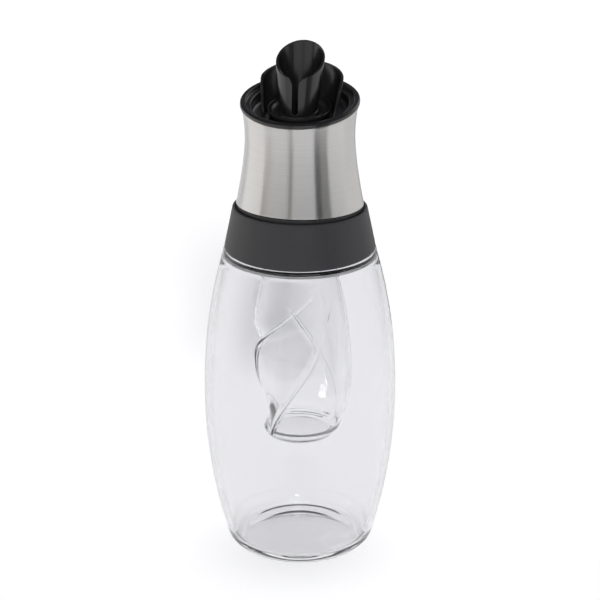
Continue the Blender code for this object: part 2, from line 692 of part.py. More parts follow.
def collar_pad(rubber):
    inner = BAND_BORE_RADIUS
    outer = inner + PAD_WIDTH
    outline = [(outer, PAD_Z), (outer, PAD_TOP_Z), (inner, PAD_TOP_Z), (inner, PAD_Z)]
    return turned("collar_pad", outline, rubber)


# Ports and pivot

def port_sectors(fixed):
    """Outlines of the vinegar port and the oil port, in a fixed plate or in the turning disc."""
    near_deg = FIXED_PORT_NEAR_DEG if fixed else PORT_HALF_ARC_DEG
    far_deg = FIXED_PORT_FAR_DEG if fixed else PORT_HALF_ARC_DEG
    vinegar = sector(VINEGAR_PORT_RADIUS, VINEGAR_PORT_OUTER,
                     FRONT_DEG - far_deg, FRONT_DEG + near_deg)
    oil = sector(OIL_PORT_RADIUS, OIL_PORT_OUTER, BACK_DEG - near_deg, BACK_DEG + far_deg)
    return vinegar, oil


def ported_disc(name, radius, low, high, fixed, material):
    """A round plate with the two ports and the pivot's hole."""
    plate = disc(name, radius, low, high, material)
    for kind, port in zip(("vinegar", "oil"), port_sectors(fixed)):
        cut(plate, prism(f"{name}_{kind}", port, low - OVERRUN, high + OVERRUN))
    hole = circle(PIVOT_RADIUS + GAP)
    cut(plate, prism(f"{name}_pivot", hole, low - OVERRUN, high + OVERRUN))
    return plate


def screw_head_depth():
    """Depth of the cone under a plate screw's head."""
    return SCREW_HEAD_RADIUS - SCREW_RADIUS


def port_plate(black_plastic):
    plate = ported_disc("port_plate", PLATE_RADIUS, PLATE_Z, FLANGE_TOP_Z, True, black_plastic)
    shank = SCREW_RADIUS + GAP
    mouth = shank + screw_head_depth() + OVERRUN
    sink_z = FLANGE_TOP_Z - screw_head_depth() - GAP / 2
    outline = [(shank, PLATE_Z - OVERRUN), (shank, sink_z), (mouth, sink_z + mouth - shank)]
    for number, angle in enumerate(PLATE_SCREW_ANGLES_DEG):
        hole = turned(f"screw_hole_{number}", outline, around=AROUND_SCREW, capped=True)
        hole.location = (*place_on_circle(POST_CIRCLE, angle), 0)
        cut(plate, hole)
    return plate


def port_gasket(rubber):
    return ported_disc("port_gasket", VALVE_RADIUS, GASKET_Z, GASKET_Z + GASKET_THICKNESS,
                       True, rubber)


def valve_disc(white_plastic):
    top = VALVE_Z + VALVE_THICKNESS
    valve = ported_disc("valve_disc", VALVE_RADIUS, VALVE_Z, top, False, white_plastic)
    for side, angle in (("right", RIGHT_DEG), ("left", LEFT_DEG)):
        place = place_on_circle(PEG_CIRCLE, angle)
        hole = circle(DRIVE_PEG_RADIUS + GAP, *place, around=AROUND_SCREW)
        cut(valve, prism(f"{side}_peg_hole", hole, VALVE_Z - OVERRUN, top + OVERRUN))
    return valve


def plate_screws(steel):
    """Three countersunk screws that share one mesh."""
    tip = FLANGE_TOP_Z - SCREW_LENGTH
    top = FLANGE_TOP_Z - GAP / 2
    outline = [(0, tip), (SCREW_RADIUS, tip + SCREW_RADIUS),
               (SCREW_RADIUS, top - screw_head_depth()), (SCREW_HEAD_RADIUS, top), (0, top)]
    screws = [turned("plate_screw_1", outline, steel, around=AROUND_SCREW)]
    for number in range(2, len(PLATE_SCREW_ANGLES_DEG) + 1):
        screws.append(bpy.data.objects.new(f"plate_screw_{number}", screws[0].data))
        bpy.context.scene.collection.objects.link(screws[-1])
    for screw, angle in zip(screws, PLATE_SCREW_ANGLES_DEG):
        screw.location = (*place_on_circle(POST_CIRCLE, angle), 0)
    return screws


def washer_top():
    return CORE_FLOOR_Z + GAP + WASHER_DISH + WASHER_THICKNESS


def nut_bottom():
    return PLATE_Z - GAP - PIVOT_NUT_HEIGHT


def pivot_screw(steel):
    head_z = washer_top() + GAP
    top = head_z + PIVOT_HEAD_HEIGHT
    outline = [(PIVOT_RADIUS - EDGE, nut_bottom() - EDGE), (PIVOT_RADIUS, nut_bottom()),
               (PIVOT_RADIUS, head_z), (PIVOT_HEAD_RADIUS, head_z),
               (PIVOT_HEAD_RADIUS, top - EDGE), (PIVOT_HEAD_RADIUS - EDGE, top)]
    return turned("pivot_screw", outline, steel, around=AROUND_SMALL, capped=True)


def pivot_washer(steel):
    inner = PIVOT_RADIUS + GAP
    low = CORE_FLOOR_Z + GAP
    outline = [(PIVOT_HEAD_RADIUS, low), (PIVOT_HEAD_RADIUS, low + WASHER_THICKNESS),
               (inner, low + WASHER_THICKNESS + WASHER_DISH), (inner, low + WASHER_DISH)]
    return turned("pivot_washer", outline, steel, around=AROUND_SMALL)


def pivot_nut(steel):
    outer = circle(PIVOT_HEAD_RADIUS, around=6)
    nut = prism("pivot_nut", outer, nut_bottom(), PLATE_Z - GAP, material=steel)
    cut(nut, prism("nut_bore", circle(PIVOT_RADIUS + GAP), nut_bottom() - OVERRUN, PLATE_Z))
    return nut


# The turning head

def sleeve_radius(share):
    """Outer radius of the steel sleeve at a share of its height: wide foot, waist, small flare."""
    if share < WAIST_HEIGHT_SHARE:
        curve_share = (1 - share / WAIST_HEIGHT_SHARE) ** SLEEVE_LOWER_CURVE_SHARE
        return mix(SLEEVE_WAIST_RADIUS, SLEEVE_BOTTOM_RADIUS, curve_share)
    rise_share = (share - WAIST_HEIGHT_SHARE) / (1 - WAIST_HEIGHT_SHARE)
    return mix(SLEEVE_WAIST_RADIUS, SLEEVE_TOP_RADIUS, rise_share ** SLEEVE_UPPER_CURVE_SHARE)


def sleeve_ring(share, inset):
    """One ring of the sleeve. Its slope runs from the foot's to the rim's."""
    slope = mix(FOOT_SLOPE_SHARE, RIM_SLOPE_SHARE, share)
    return ring(sleeve_radius(share) - inset, mix(SLEEVE_Z, SLEEVE_TOP_Z, share), slope=slope)


def steel_sleeve(brushed_steel):
    shares = spread(0, 1, 7)
    rings = [sleeve_ring(share, 0) for share in shares]
    rings += [sleeve_ring(share, SLEEVE_WALL) for share in reversed(shares)]
    return wall("steel_sleeve", rings, brushed_steel)


def head_core(black_plastic):
    skirt_share = (CORE_FLOOR_Z + CORE_FLOOR - SLEEVE_Z) / SLEEVE_HEIGHT
    skirt = sleeve_radius(skirt_share) - SLEEVE_WALL - CORE_CLEARANCE
    shoulder_z = SLEEVE_Z + WAIST_HEIGHT_SHARE * SLEEVE_HEIGHT / 2
    foot_top_z = SLEEVE_Z - GAP
    rings = [ring(WELL_RADIUS, CORE_Z), ring(WELL_RADIUS, FOOT_Z)]
    rings += [ring(FOOT_RADIUS, FOOT_Z), ring(FOOT_RADIUS, foot_top_z, slope=FOOT_SLOPE_SHARE)]
    rings += [ring(skirt, foot_top_z, slope=FOOT_SLOPE_SHARE)]
    rings += [ring(skirt, CORE_FLOOR_Z + CORE_FLOOR), ring(CORE_RADIUS, shoulder_z)]
    rings += [ring(CORE_RADIUS, CORE_TOP_Z, slope=RIM_SLOPE_SHARE)]
    core = wall("head_core", rings, black_plastic, capped=True)
    high = CORE_TOP_Z + OVERRUN + RIM_SLOPE_SHARE * CORE_RADIUS
    bore = circle(VINEGAR_DUCT_RADIUS, centre_y=-SPOUT_SETBACK, around=AROUND_SPOUT)
    cut(core, prism("vinegar_bore", bore, CORE_FLOOR_Z, high))
    duct = sector(DUCT_NEAR_RADIUS, DUCT_NEAR_RADIUS + DUCT_WIDTH,
                  BACK_DEG - DUCT_HALF_ARC_DEG, BACK_DEG + DUCT_HALF_ARC_DEG)
    cut(core, prism("oil_duct", duct, CORE_FLOOR_Z, high))
    pocket_inner = SPOUT_SETBACK + VINEGAR_DUCT_RADIUS + DUCT_WALL
    for side, middle in (("right", RIGHT_DEG), ("left", LEFT_DEG)):
        half = POCKET_ARC_DEG / 2
        pocket = sector(pocket_inner, CORE_RADIUS - DUCT_WALL, middle - half, middle + half)
        cut(core, prism(f"{side}_pocket", pocket, CORE_FLOOR_Z + CORE_FLOOR, high))
    for kind, port in zip(("vinegar", "oil"), port_sectors(False)):
        cut(core, prism(f"core_{kind}_port", port, CORE_Z - OVERRUN, CORE_FLOOR_Z + EDGE))
    cut(core, prism("core_pivot_hole", circle(PIVOT_RADIUS + GAP), CORE_Z - OVERRUN,
                    CORE_FLOOR_Z + EDGE))
    half = STOP_LUG_ARC_DEG / 2 + TWIST_LIMIT_DEG + STOP_PLAY_DEG
    groove = sector(STOP_CIRCLE - STOP_LUG_WIDTH / 2 - GAP, STOP_CIRCLE + STOP_LUG_WIDTH / 2 + GAP,
                    FRONT_DEG - half, FRONT_DEG + half, steps=12)
    cut(core, prism("stop_groove", groove, FOOT_Z - OVERRUN, BAND_TOP_Z + STOP_LUG_HEIGHT + GAP))
    for side, angle in (("right", RIGHT_DEG), ("left", LEFT_DEG)):
        peg = circle(DRIVE_PEG_RADIUS, *place_on_circle(PEG_CIRCLE, angle), around=AROUND_SCREW)
        join(core, prism(f"{side}_peg", peg, CORE_Z - DRIVE_PEG_LENGTH, CORE_Z + EDGE))
    return core


def duct_gasket(rubber):
    gasket = disc("duct_gasket", CORE_RADIUS, DUCT_GASKET_Z, CUP_Z - GAP, rubber, RIM_SLOPE_SHARE)
    tilt = RIM_SLOPE_SHARE * CORE_RADIUS + OVERRUN
    bore = circle(VINEGAR_DUCT_RADIUS, centre_y=-SPOUT_SETBACK, around=AROUND_SPOUT)
    cut(gasket, prism("gasket_bore", bore, DUCT_GASKET_Z - tilt, CUP_Z + tilt))
    duct = sector(DUCT_NEAR_RADIUS, DUCT_NEAR_RADIUS + DUCT_WIDTH,
                  BACK_DEG - DUCT_HALF_ARC_DEG, BACK_DEG + DUCT_HALF_ARC_DEG)
    cut(gasket, prism("gasket_duct", duct, DUCT_GASKET_Z - tilt, CUP_Z + tilt))
    return gasket


def drip_cup(gloss_black):
    outer = CORE_RADIUS
    inner = outer - CUP_WALL
    upper_outer = SLEEVE_TOP_RADIUS - SLEEVE_WALL - GAP
    step_z = RIM_Z - LIP_STEP_DEPTH
    neck_z = mix(CUP_FLOOR_Z, LIP_Z, CUP_FLARE_SHARE)
    round_edge = LIP_THICKNESS / 3
    outline = [(outer, CUP_Z), (outer, neck_z), (upper_outer, LIP_Z)]
    outline += [(LIP_RADIUS - EDGE, LIP_Z), (LIP_RADIUS, LIP_Z + EDGE)]
    outline += arc(LIP_RADIUS - round_edge, RIM_Z - round_edge, round_edge, round_edge, 0, 90, 3)
    outline += [(LIP_INNER + EDGE, RIM_Z), (LIP_INNER, RIM_Z - EDGE)]
    outline += [(LIP_INNER, step_z), (mix(inner, LIP_INNER, CUP_STEP_SHARE), step_z)]
    outline += arc(inner - CUP_WALL, CUP_FLOOR_Z + CUP_WALL, CUP_WALL, CUP_WALL, 0, -90, 2)
    cup = turned("drip_cup", outline, gloss_black, slope=RIM_SLOPE_SHARE, capped=True)
    tilt = RIM_SLOPE_SHARE * CORE_RADIUS + OVERRUN
    hole = circle(STEM_RADIUS + GAP, centre_y=-SPOUT_SETBACK, around=AROUND_SPOUT)
    cut(cup, prism("stem_hole", hole, CUP_Z - tilt, CUP_FLOOR_Z + tilt))
    slot = sector(DUCT_NEAR_RADIUS, DUCT_NEAR_RADIUS + CUP_SLOT_WIDTH,
                  BACK_DEG - DUCT_HALF_ARC_DEG, BACK_DEG + DUCT_HALF_ARC_DEG)
    cut(cup, prism("cup_oil_slot", slot, CUP_Z - tilt, CUP_FLOOR_Z + tilt))
    seat_edge_deg = SCOOP_OPEN_EDGE_DEG + SCOOP_SEAT_PLAY_DEG
    seat = sector(SCOOP_BASE_RADIUS - SCOOP_WALL - GAP, SCOOP_BASE_RADIUS + GAP,
                  RIGHT_DEG - seat_edge_deg, LEFT_DEG + seat_edge_deg,
                  shift=SCOOP_BASE_SHIFT, steps=20)
    cut(cup, prism("scoop_seat", seat, CUP_FLOOR_Z - SCOOP_SEAT_DEPTH, CUP_FLOOR_Z + OVERRUN,
                   slope=RIM_SLOPE_SHARE))
    return cup


def scoop_edge_deg(share):
    """How far the scoop's open edges reach past its sides. They are rounded back at the top."""
    below_top = (1 - share) * SCOOP_HEIGHT
    into_corner = max(SCOOP_CORNER_RADIUS - below_top, 0)
    drawn_back = SCOOP_CORNER_RADIUS - math.sqrt(SCOOP_CORNER_RADIUS ** 2 - into_corner ** 2)
    return SCOOP_OPEN_EDGE_DEG - math.degrees(drawn_back / SCOOP_TOP_RADIUS)


def scoop_ring(share, inset):
    """One open ring of the scoop, from its right edge round the back to its left edge."""
    base_z = CUP_FLOOR_Z - SCOOP_SEAT_DEPTH + GAP
    height = mix(base_z, CUP_FLOOR_Z + SCOOP_HEIGHT, share)
    radius = mix(SCOOP_BASE_RADIUS, SCOOP_TOP_RADIUS, share) - inset
    shift = mix(SCOOP_BASE_SHIFT, SCOOP_TOP_SHIFT, ease(share))
    slope = mix(RIM_SLOPE_SHARE, SCOOP_SLOPE_SHARE, share)
    edge_deg = scoop_edge_deg(share)
    points = []
    for angle in spread(RIGHT_DEG - edge_deg, LEFT_DEG + edge_deg, 20):
        turn = math.radians(angle)
        along = shift + radius * math.sin(turn)
        points.append(Vector((radius * math.cos(turn), along, height + slope * along)))
    return points


def oil_spout(gloss_black):
    """The scoop: each ring runs along its outside and back along its inside."""
    rings = []
    for share in (0, SCOOP_SEAT_DEPTH / SCOOP_HEIGHT, *SCOOP_RING_SHARES):
        rings.append(scoop_ring(share, 0) + list(reversed(scoop_ring(share, SCOOP_WALL))))
    count = len(rings[0])
    vertices = [point for points in rings for point in points]
    faces = [tuple(reversed(range(count)))]
    faces.append(tuple(range((len(rings) - 1) * count, len(rings) * count)))
    for level in range(len(rings) - 1):
        for step in range(count):
            after = (step + 1) % count
            low = level * count
            high = low + count
            faces.append((low + step, low + after, high + after, high + step))
    return new_object("oil_spout", vertices, faces, gloss_black)


def tube_ring(share, inset):
    """One ring of the leaning vinegar tube, from the dish to its slanted mouth."""
    base_z = CUP_FLOOR_Z + DISH_HEIGHT
    top_z = CUP_FLOOR_Z + TUBE_HEIGHT
    slope = mix(RIM_SLOPE_SHARE, TUBE_SLOPE_SHARE, share)
    radius = mix(TUBE_BASE_RADIUS, TUBE_TOP_RADIUS, share) - inset
    shift = mix(-SPOUT_SETBACK, TUBE_TOP_SHIFT, share)
    return ring(radius, mix(base_z, top_z, share), shift, slope, AROUND_SPOUT)


def slit_outline():
    """Front view (x, z) of the slit: straight sides and a mouth that flares round at the top."""
    half = SLIT_WIDTH / 2
    low = CUP_FLOOR_Z + DISH_HEIGHT
    front = TUBE_TOP_SHIFT - TUBE_TOP_RADIUS
    mouth_z = CUP_FLOOR_Z + TUBE_HEIGHT + TUBE_SLOPE_SHARE * front
    flare = SLIT_MOUTH_RADIUS
    right = arc(half + flare, mouth_z - flare, flare, flare, 180, 100, 5)
    right = [(half, low + half)] + right + [(half + flare, mouth_z + OVERRUN)]
    bottom = arc(0, low + half, half, half, -180, 0, 4)[1:-1]
    return bottom + right + [(-x, z) for x, z in reversed(right)]


def vinegar_spout(gloss_black):
    floor_z = CUP_FLOOR_Z + GAP
    dish_top_z = CUP_FLOOR_Z + DISH_HEIGHT
    seal_radius = STEM_RADIUS - STEM_SEAL_DEPTH
    stem = [(STEM_RADIUS - EDGE, STEM_Z), (STEM_RADIUS, STEM_Z + EDGE), (STEM_RADIUS, STEM_SEAL_Z),
            (seal_radius, STEM_SEAL_Z), (seal_radius, STEM_SEAL_Z + STEM_SEAL_HEIGHT),
            (STEM_RADIUS, STEM_SEAL_Z + STEM_SEAL_HEIGHT)]
    rings = [ring(radius, height, -SPOUT_SETBACK, 0, AROUND_SPOUT) for radius, height in stem]
    dish_wall_z = mix(floor_z, dish_top_z, DISH_CONE_SHARE)
    dish_floor_z = mix(floor_z, dish_top_z, DISH_FLOOR_SHARE)
    dish_inner = DISH_RADIUS - DISH_WALL
    dish = [(STEM_RADIUS, floor_z, -SPOUT_SETBACK),
            (STEM_RADIUS + EDGE, floor_z + GAP, -SPOUT_SETBACK),
            (DISH_RADIUS, dish_wall_z, -DISH_FORWARD),
            (DISH_RADIUS, dish_top_z - EDGE, -DISH_FORWARD),
            (DISH_RADIUS - DISH_WALL / 2, dish_top_z, -DISH_FORWARD),
            (dish_inner, dish_top_z - EDGE, -DISH_FORWARD),
            (dish_inner - DISH_WALL, dish_floor_z, -DISH_FORWARD)]
    rings += [ring(radius, height, shift, RIM_SLOPE_SHARE, AROUND_SPOUT)
              for radius, height, shift in dish]
    reach = dish_inner - 2 * DISH_WALL - TUBE_BASE_RADIUS
    for radius, height in arc(TUBE_BASE_RADIUS + reach, dish_top_z, reach,
                              dish_top_z - dish_floor_z, -90, -180, 3)[:-1]:
        rings.append(ring(radius, height, -SPOUT_SETBACK, RIM_SLOPE_SHARE, AROUND_SPOUT))
    rings += [tube_ring(share, 0) for share in TUBE_OUTER_RING_SHARES]
    rings += [tube_ring(1, TUBE_WALL / 4), tube_ring(1, 3 * TUBE_WALL / 4)]
    rings += [tube_ring(share, TUBE_WALL) for share in TUBE_INNER_RING_SHARES]
    rings += [ring(STEM_BORE_RADIUS, floor_z, -SPOUT_SETBACK, 0, AROUND_SPOUT)]
    rings += [ring(STEM_BORE_RADIUS, STEM_Z, -SPOUT_SETBACK, 0, AROUND_SPOUT)]
    spout = wall("vinegar_spout", rings, gloss_black)
    slit = prism("slit", slit_outline(), 0, SPOUT_SETBACK + 2 * TUBE_TOP_RADIUS)
    slit.data.transform(Matrix.Rotation(math.radians(90), 4, "X"))
    slit.data.transform(Matrix.Translation((0, -SPOUT_SETBACK, 0)))
    cut(spout, slit)
    return spout


def spout_seal(rubber):
    low = STEM_SEAL_Z + GAP
    high = STEM_SEAL_Z + STEM_SEAL_HEIGHT - GAP
    inner = STEM_RADIUS - STEM_SEAL_DEPTH + GAP
    seal = seal_ring("spout_seal", inner, VINEGAR_DUCT_RADIUS - GAP, low, high, 1,
                     rubber, AROUND_SPOUT)
    seal.data.transform(Matrix.Translation((0, -SPOUT_SETBACK, 0)))
    return seal


# The whole dispenser

def build():
    for old in list(bpy.data.objects):
        bpy.data.objects.remove(old)
    glass = finish("bottle_glass", (0.93, 0.94, 0.96), 0.02, transmission=1.0)
    clear_plastic = finish("vessel_clear", (0.95, 0.96, 0.97), 0.03, transmission=1.0)
    grey_grip = finish("soft_grey", (0.062, 0.062, 0.066), 0.55)
    brushed_steel = finish("brushed_steel", (0.62, 0.61, 0.60), 0.28, metallic=1.0)
    plain_steel = finish("plain_steel", (0.55, 0.55, 0.56), 0.35, metallic=1.0)
    gloss_black = finish("gloss_black", (0.012, 0.012, 0.013), 0.12)
    black_plastic = finish("satin_black", (0.02, 0.02, 0.021), 0.4)
    white_plastic = finish("valve_white", (0.8, 0.8, 0.78), 0.35)
    rubber = finish("seal_silicone", (0.55, 0.56, 0.57), 0.6)

    outer_bottle(glass)
    collar_group = pivot("collar_lift", LEDGE_Z)
    head_group = pivot("head_turn", FOOT_Z, collar_group)
    vessel_group = pivot("vessel_slide", VESSEL_TOP_Z, collar_group)
    stopper = [
        neck_collar(grey_grip), collar_pad(rubber), stopper_plug(black_plastic),
        bottle_seal(rubber), vessel_seal(rubber), port_plate(black_plastic), port_gasket(rubber),
        pivot_screw(plain_steel), pivot_washer(plain_steel), pivot_nut(plain_steel),
        *plate_screws(plain_steel),
    ]
    head = [
        valve_disc(white_plastic), head_core(black_plastic), duct_gasket(rubber),
        steel_sleeve(brushed_steel), drip_cup(gloss_black), oil_spout(gloss_black),
        vinegar_spout(gloss_black), spout_seal(rubber),
    ]
    carry(stopper, collar_group, LEDGE_Z)
    carry(head, head_group, FOOT_Z)
    carry([inner_vessel(clear_plastic)], vessel_group, VESSEL_TOP_Z)


build()
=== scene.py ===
# %% [markdown]
# # A dispenser for oil and vinegar
#
# The real object is a clear bellied bottle for oil, with a twisted clear vessel for vinegar inside
# it. A grey grip band closes the neck, and a waisted steel head above it turns to choose a liquid.
# Two glossy black spouts stand in a drip cup on top.
#
# The measured model comes first: it says where each piece sits and which pieces move together.
# The pieces that the eye rests on are then made again, finer, in the same places.

# %% Load the measured model
import math
from collections import namedtuple

import bpy
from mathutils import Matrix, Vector


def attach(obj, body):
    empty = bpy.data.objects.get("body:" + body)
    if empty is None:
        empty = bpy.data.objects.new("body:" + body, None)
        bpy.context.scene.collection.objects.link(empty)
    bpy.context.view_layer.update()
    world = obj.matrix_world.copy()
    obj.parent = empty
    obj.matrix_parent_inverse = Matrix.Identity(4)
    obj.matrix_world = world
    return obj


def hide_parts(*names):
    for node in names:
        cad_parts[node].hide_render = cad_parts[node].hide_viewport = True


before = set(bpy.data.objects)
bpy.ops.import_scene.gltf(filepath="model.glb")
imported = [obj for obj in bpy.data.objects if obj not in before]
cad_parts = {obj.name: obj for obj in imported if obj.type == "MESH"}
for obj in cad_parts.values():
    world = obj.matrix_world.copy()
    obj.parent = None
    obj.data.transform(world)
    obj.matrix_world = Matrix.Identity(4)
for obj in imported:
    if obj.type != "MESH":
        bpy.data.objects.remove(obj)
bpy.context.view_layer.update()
MM = 0.001

# %% [markdown]
# ## Camera
#
# The photograph was taken from some way off with a long lens, looking down by about 21 degrees, so
# upright lines hardly converge. A camera needs its distance, its height and its lens. They could be
# tried out by eye, but here they follow from the widths of the ellipses that the rims make. The
# camera looks at a point on the bottle's axis, from a little to the right of the spouts' slots.

# %% Camera
LOOK_AT = Vector((0, 0, 114 * MM))
CAMERA_AZIMUTH, CAMERA_ELEVATION = 12, 21.3
CAMERA_DISTANCE = 1219 * MM
LENS, SENSOR_WIDTH = 168, 36
NEAREST_SEEN = 50 * MM


def towards(azimuth, elevation, distance):
    """A place seen from the bottle. Azimuth counts from the front to the right, in degrees."""
    turn, rise = math.radians(azimuth), math.radians(elevation)
    level = distance * math.cos(rise)
    return Vector((level * math.sin(turn), -level * math.cos(turn), distance * math.sin(rise)))


def place_camera():
    away = towards(CAMERA_AZIMUTH, CAMERA_ELEVATION, 1)
    bpy.ops.object.camera_add(location=LOOK_AT + away * CAMERA_DISTANCE)
    camera = bpy.context.object
    camera.name = "photo_camera"
    camera.rotation_euler = (-away).to_track_quat("-Z", "Y").to_euler()
    camera.data.sensor_width = SENSOR_WIDTH
    camera.data.lens = LENS
    camera.data.clip_start = NEAREST_SEEN
    bpy.context.scene.camera = camera
    return camera


camera = place_camera()
print("camera stands at", [round(value, 3) for value in camera.location])

# %% [markdown]
# ## Tools for turned pieces
#
# Most pieces are round, as if turned on a lathe or blown in a mould. A round piece could be cut
# from a cylinder, ring by ring. It is easier to draw half of its section and to spin that about the
# axis, because the section can be read straight off the object: up the outside, over the rim, and
# down the inside. One vertex is extruded from point to point, then the line is spun through a full
# turn and its two ends are welded.

# %% Section drawing and spinning
ROUND_STEPS = 128
WELD_DISTANCE = 0.0005 * MM


def deselect_all():
    if bpy.context.object and bpy.context.object.mode != "OBJECT":
        bpy.ops.object.mode_set(mode="OBJECT")
    bpy.ops.object.select_all(action="DESELECT")


def pick(piece):
    """Selects one piece alone, for the operator that comes next."""
    deselect_all()
    bpy.context.view_layer.objects.active = piece
    piece.select_set(True)


def draw_line(name, points):
    """A line of vertices through (radius, height) points in millimetres, in the plane of -Y."""
    deselect_all()
    places = [Vector((0, -radius, height)) * MM for radius, height in points]
    bpy.ops.mesh.primitive_plane_add(size=MM, location=(0, 0, 0))
    piece = bpy.context.object
    piece.name = piece.data.name = name
    bpy.ops.object.mode_set(mode="EDIT")
    bpy.ops.mesh.merge(type="CENTER")
    bpy.ops.transform.translate(value=places[0])
    for start, end in zip(places, places[1:]):
        bpy.ops.mesh.extrude_region_move(TRANSFORM_OT_translate={"value": end - start})
    return piece


def weld():
    bpy.ops.mesh.select_all(action="SELECT")
    bpy.ops.mesh.remove_doubles(threshold=WELD_DISTANCE)
    bpy.ops.mesh.normals_make_consistent(inside=False)


def turn_section(name, points, steps=ROUND_STEPS):
    """Spins a section about the axis. A section that ends away from the axis is closed first."""
    closed = list(points)
    if points[0][0] > 0 and points[-1][0] > 0:
        closed.append(points[0])
    piece = draw_line(name, closed)
    bpy.ops.mesh.select_all(action="SELECT")
    bpy.ops.mesh.spin(steps=steps, angle=math.tau, center=(0, 0, 0), axis=(0, 0, 1))
    weld()
    bpy.ops.object.mode_set(mode="OBJECT")
    return piece


print("lathe tools are ready")

# %% [markdown]
# ### Changes to a finished mesh
#
# A slant or a twist can't be spun, so a rule moves the finished vertices. Edges could be drawn
# round in each section, but one Bevel rounds all the edges of a cut or bent piece.

# %% Moving, rounding and shading
EDGE_ANGLE = 50


def move_points(piece, rule):
    """Moves each vertex by a rule, where a lean, a slant or a twist has no tool of its own."""
    for vertex in piece.data.vertices:
        vertex.co = rule(vertex.co.copy())
    piece.data.update()


def apply_modifier(piece, kind, **settings):
    pick(piece)
    modifier = piece.modifiers.new(kind.title(), kind)
    for setting, value in settings.items():
        setattr(modifier, setting, value)
    bpy.ops.object.modifier_apply(modifier=modifier.name)


def soften_edges(piece, width, segments=3):
    """Rounds the edges where faces meet at more than EDGE_ANGLE."""
    apply_modifier(piece, "BEVEL", width=width * MM, segments=segments, limit_method="ANGLE",
                   angle_limit=math.radians(EDGE_ANGLE))


def shade(piece, angle=40):
    """Shades a piece smooth, but for edges sharper than an angle in degrees."""
    pick(piece)
    bpy.ops.object.shade_smooth_by_angle(angle=math.radians(angle))


def report(piece):
    sizes = [round(side / MM, 1) for side in piece.dimensions]
    print(f"{piece.name}: {len(piece.data.polygons)} faces, {sizes} mm")


print("mesh tools are ready")

# %% [markdown]
# ### Arcs and shares
#
# A section is a list of points, each a radius and a height. Its corners could be rounded later,
# but an arc of points puts each round where it was measured. Sizes that change along a piece are
# mixed from those at its two ends, by a share from 0 to 1.

# %% Arcs and shares
def arc(centre_radius, centre_height, reach_radius, reach_height, start, end, steps):
    """Section points along an elliptical arc, with its angles in degrees."""
    points = []
    for step in range(steps + 1):
        angle = math.radians(start + (end - start) * step / steps)
        points.append((centre_radius + reach_radius * math.cos(angle),
                       centre_height + reach_height * math.sin(angle)))
    return points


def bend(centre_radius, centre_height, size, start, end, steps):
    """Section points along a circular arc."""
    return arc(centre_radius, centre_height, size, size, start, end, steps)


def spread(low, high, steps):
    return [low + (high - low) * step / steps for step in range(steps + 1)]


def mix(low, high, share):
    return low + (high - low) * share


def ease(share):
    """A share from 0 to 1 that starts and ends gently."""
    share = min(max(share, 0.0), 1.0)
    return share * share * (3 - 2 * share)


print("a quarter of the way eases to", ease(0.25))

# %% [markdown]
# ## Tools for materials
#
# A finish is a net of shader nodes. Nodes could be placed and linked one by one, but sums are
# easier to read as sums. A small class wraps a socket, so that `height * 3 + noise` adds its own
# Math nodes.

# %% Sockets that can be added and multiplied
class Socket:
    def __init__(self, net, output):
        self.net = net
        self.output = output

    def maths(self, operation, first, second):
        return self.net.node("ShaderNodeMath", {"operation": operation}, {0: first, 1: second})

    def __add__(self, other):
        return self.maths("ADD", self, other)

    def __radd__(self, other):
        return self.maths("ADD", other, self)

    def __mul__(self, other):
        return self.maths("MULTIPLY", self, other)

    def __rmul__(self, other):
        return self.maths("MULTIPLY", other, self)

    def at_least(self, other):
        return self.maths("MAXIMUM", self, other)


print("sockets can be added and multiplied")

# %% [markdown]
# ### Nets of nodes
#
# Each finish could have its own long list of nodes. Shared methods for noise, blends and bumps keep
# it down to some lines, and all of them use one that takes a node's type, settings and inputs.

# %% Nets of nodes
class Net:
    """The node net of one material or of the world."""

    def __init__(self, owner):
        owner.use_nodes = True
        self.tree = owner.node_tree
        self.tree.nodes.clear()

    def put(self, value, entry):
        if isinstance(value, Socket):
            self.tree.links.new(value.output, entry)
        else:
            entry.default_value = value

    def node(self, kind, settings=None, inputs=None, output=0):
        node = self.tree.nodes.new(kind)
        for name, value in (settings or {}).items():
            setattr(node, name, value)
        for name, value in (inputs or {}).items():
            self.put(value, node.inputs[name])
        return Socket(self, node.outputs[output])

    def position(self):
        return self.node("ShaderNodeTexCoord", output="Object")

    def stretched(self, scale):
        return self.node("ShaderNodeMapping", {}, {"Vector": self.position(), "Scale": scale})

    def noise(self, vector, scale, detail=2.0):
        return self.node("ShaderNodeTexNoise", {},
                         {"Vector": vector, "Scale": scale, "Detail": detail})

    def blend(self, share, first, second):
        node = self.tree.nodes.new("ShaderNodeMix")
        node.data_type = "RGBA"
        for value, entry in ((share, node.inputs[0]), (first, node.inputs[6]),
                             (second, node.inputs[7])):
            self.put(value, entry)
        return Socket(self, node.outputs[2])

    def bump(self, height, strength, distance):
        return self.node("ShaderNodeBump", {},
                         {"Height": height, "Strength": strength, "Distance": distance})

    def finish(self, shader, kind="ShaderNodeOutputMaterial"):
        end = self.tree.nodes.new(kind)
        self.tree.links.new(shader.output, end.inputs["Surface"])


print("nets of nodes are ready")

# %% [markdown]
# ### One material from its values
#
# Nearly every finish here is one Principled shader. Its sockets could be filled in one by one, but
# named values read like a recipe. A value is a plain number or colour where the surface is the same
# all over, and a rule that builds some nodes where it changes.

# %% Material from its values
def principled(name, **inputs):
    """A material with one Principled shader. An input is a value, or a rule that makes nodes."""
    material = bpy.data.materials.new(name)
    net = Net(material)
    values = {key.replace("_", " "): value(net) if callable(value) else value
              for key, value in inputs.items()}
    net.finish(net.node("ShaderNodeBsdfPrincipled", {}, values))
    return material


print("material tools are ready")

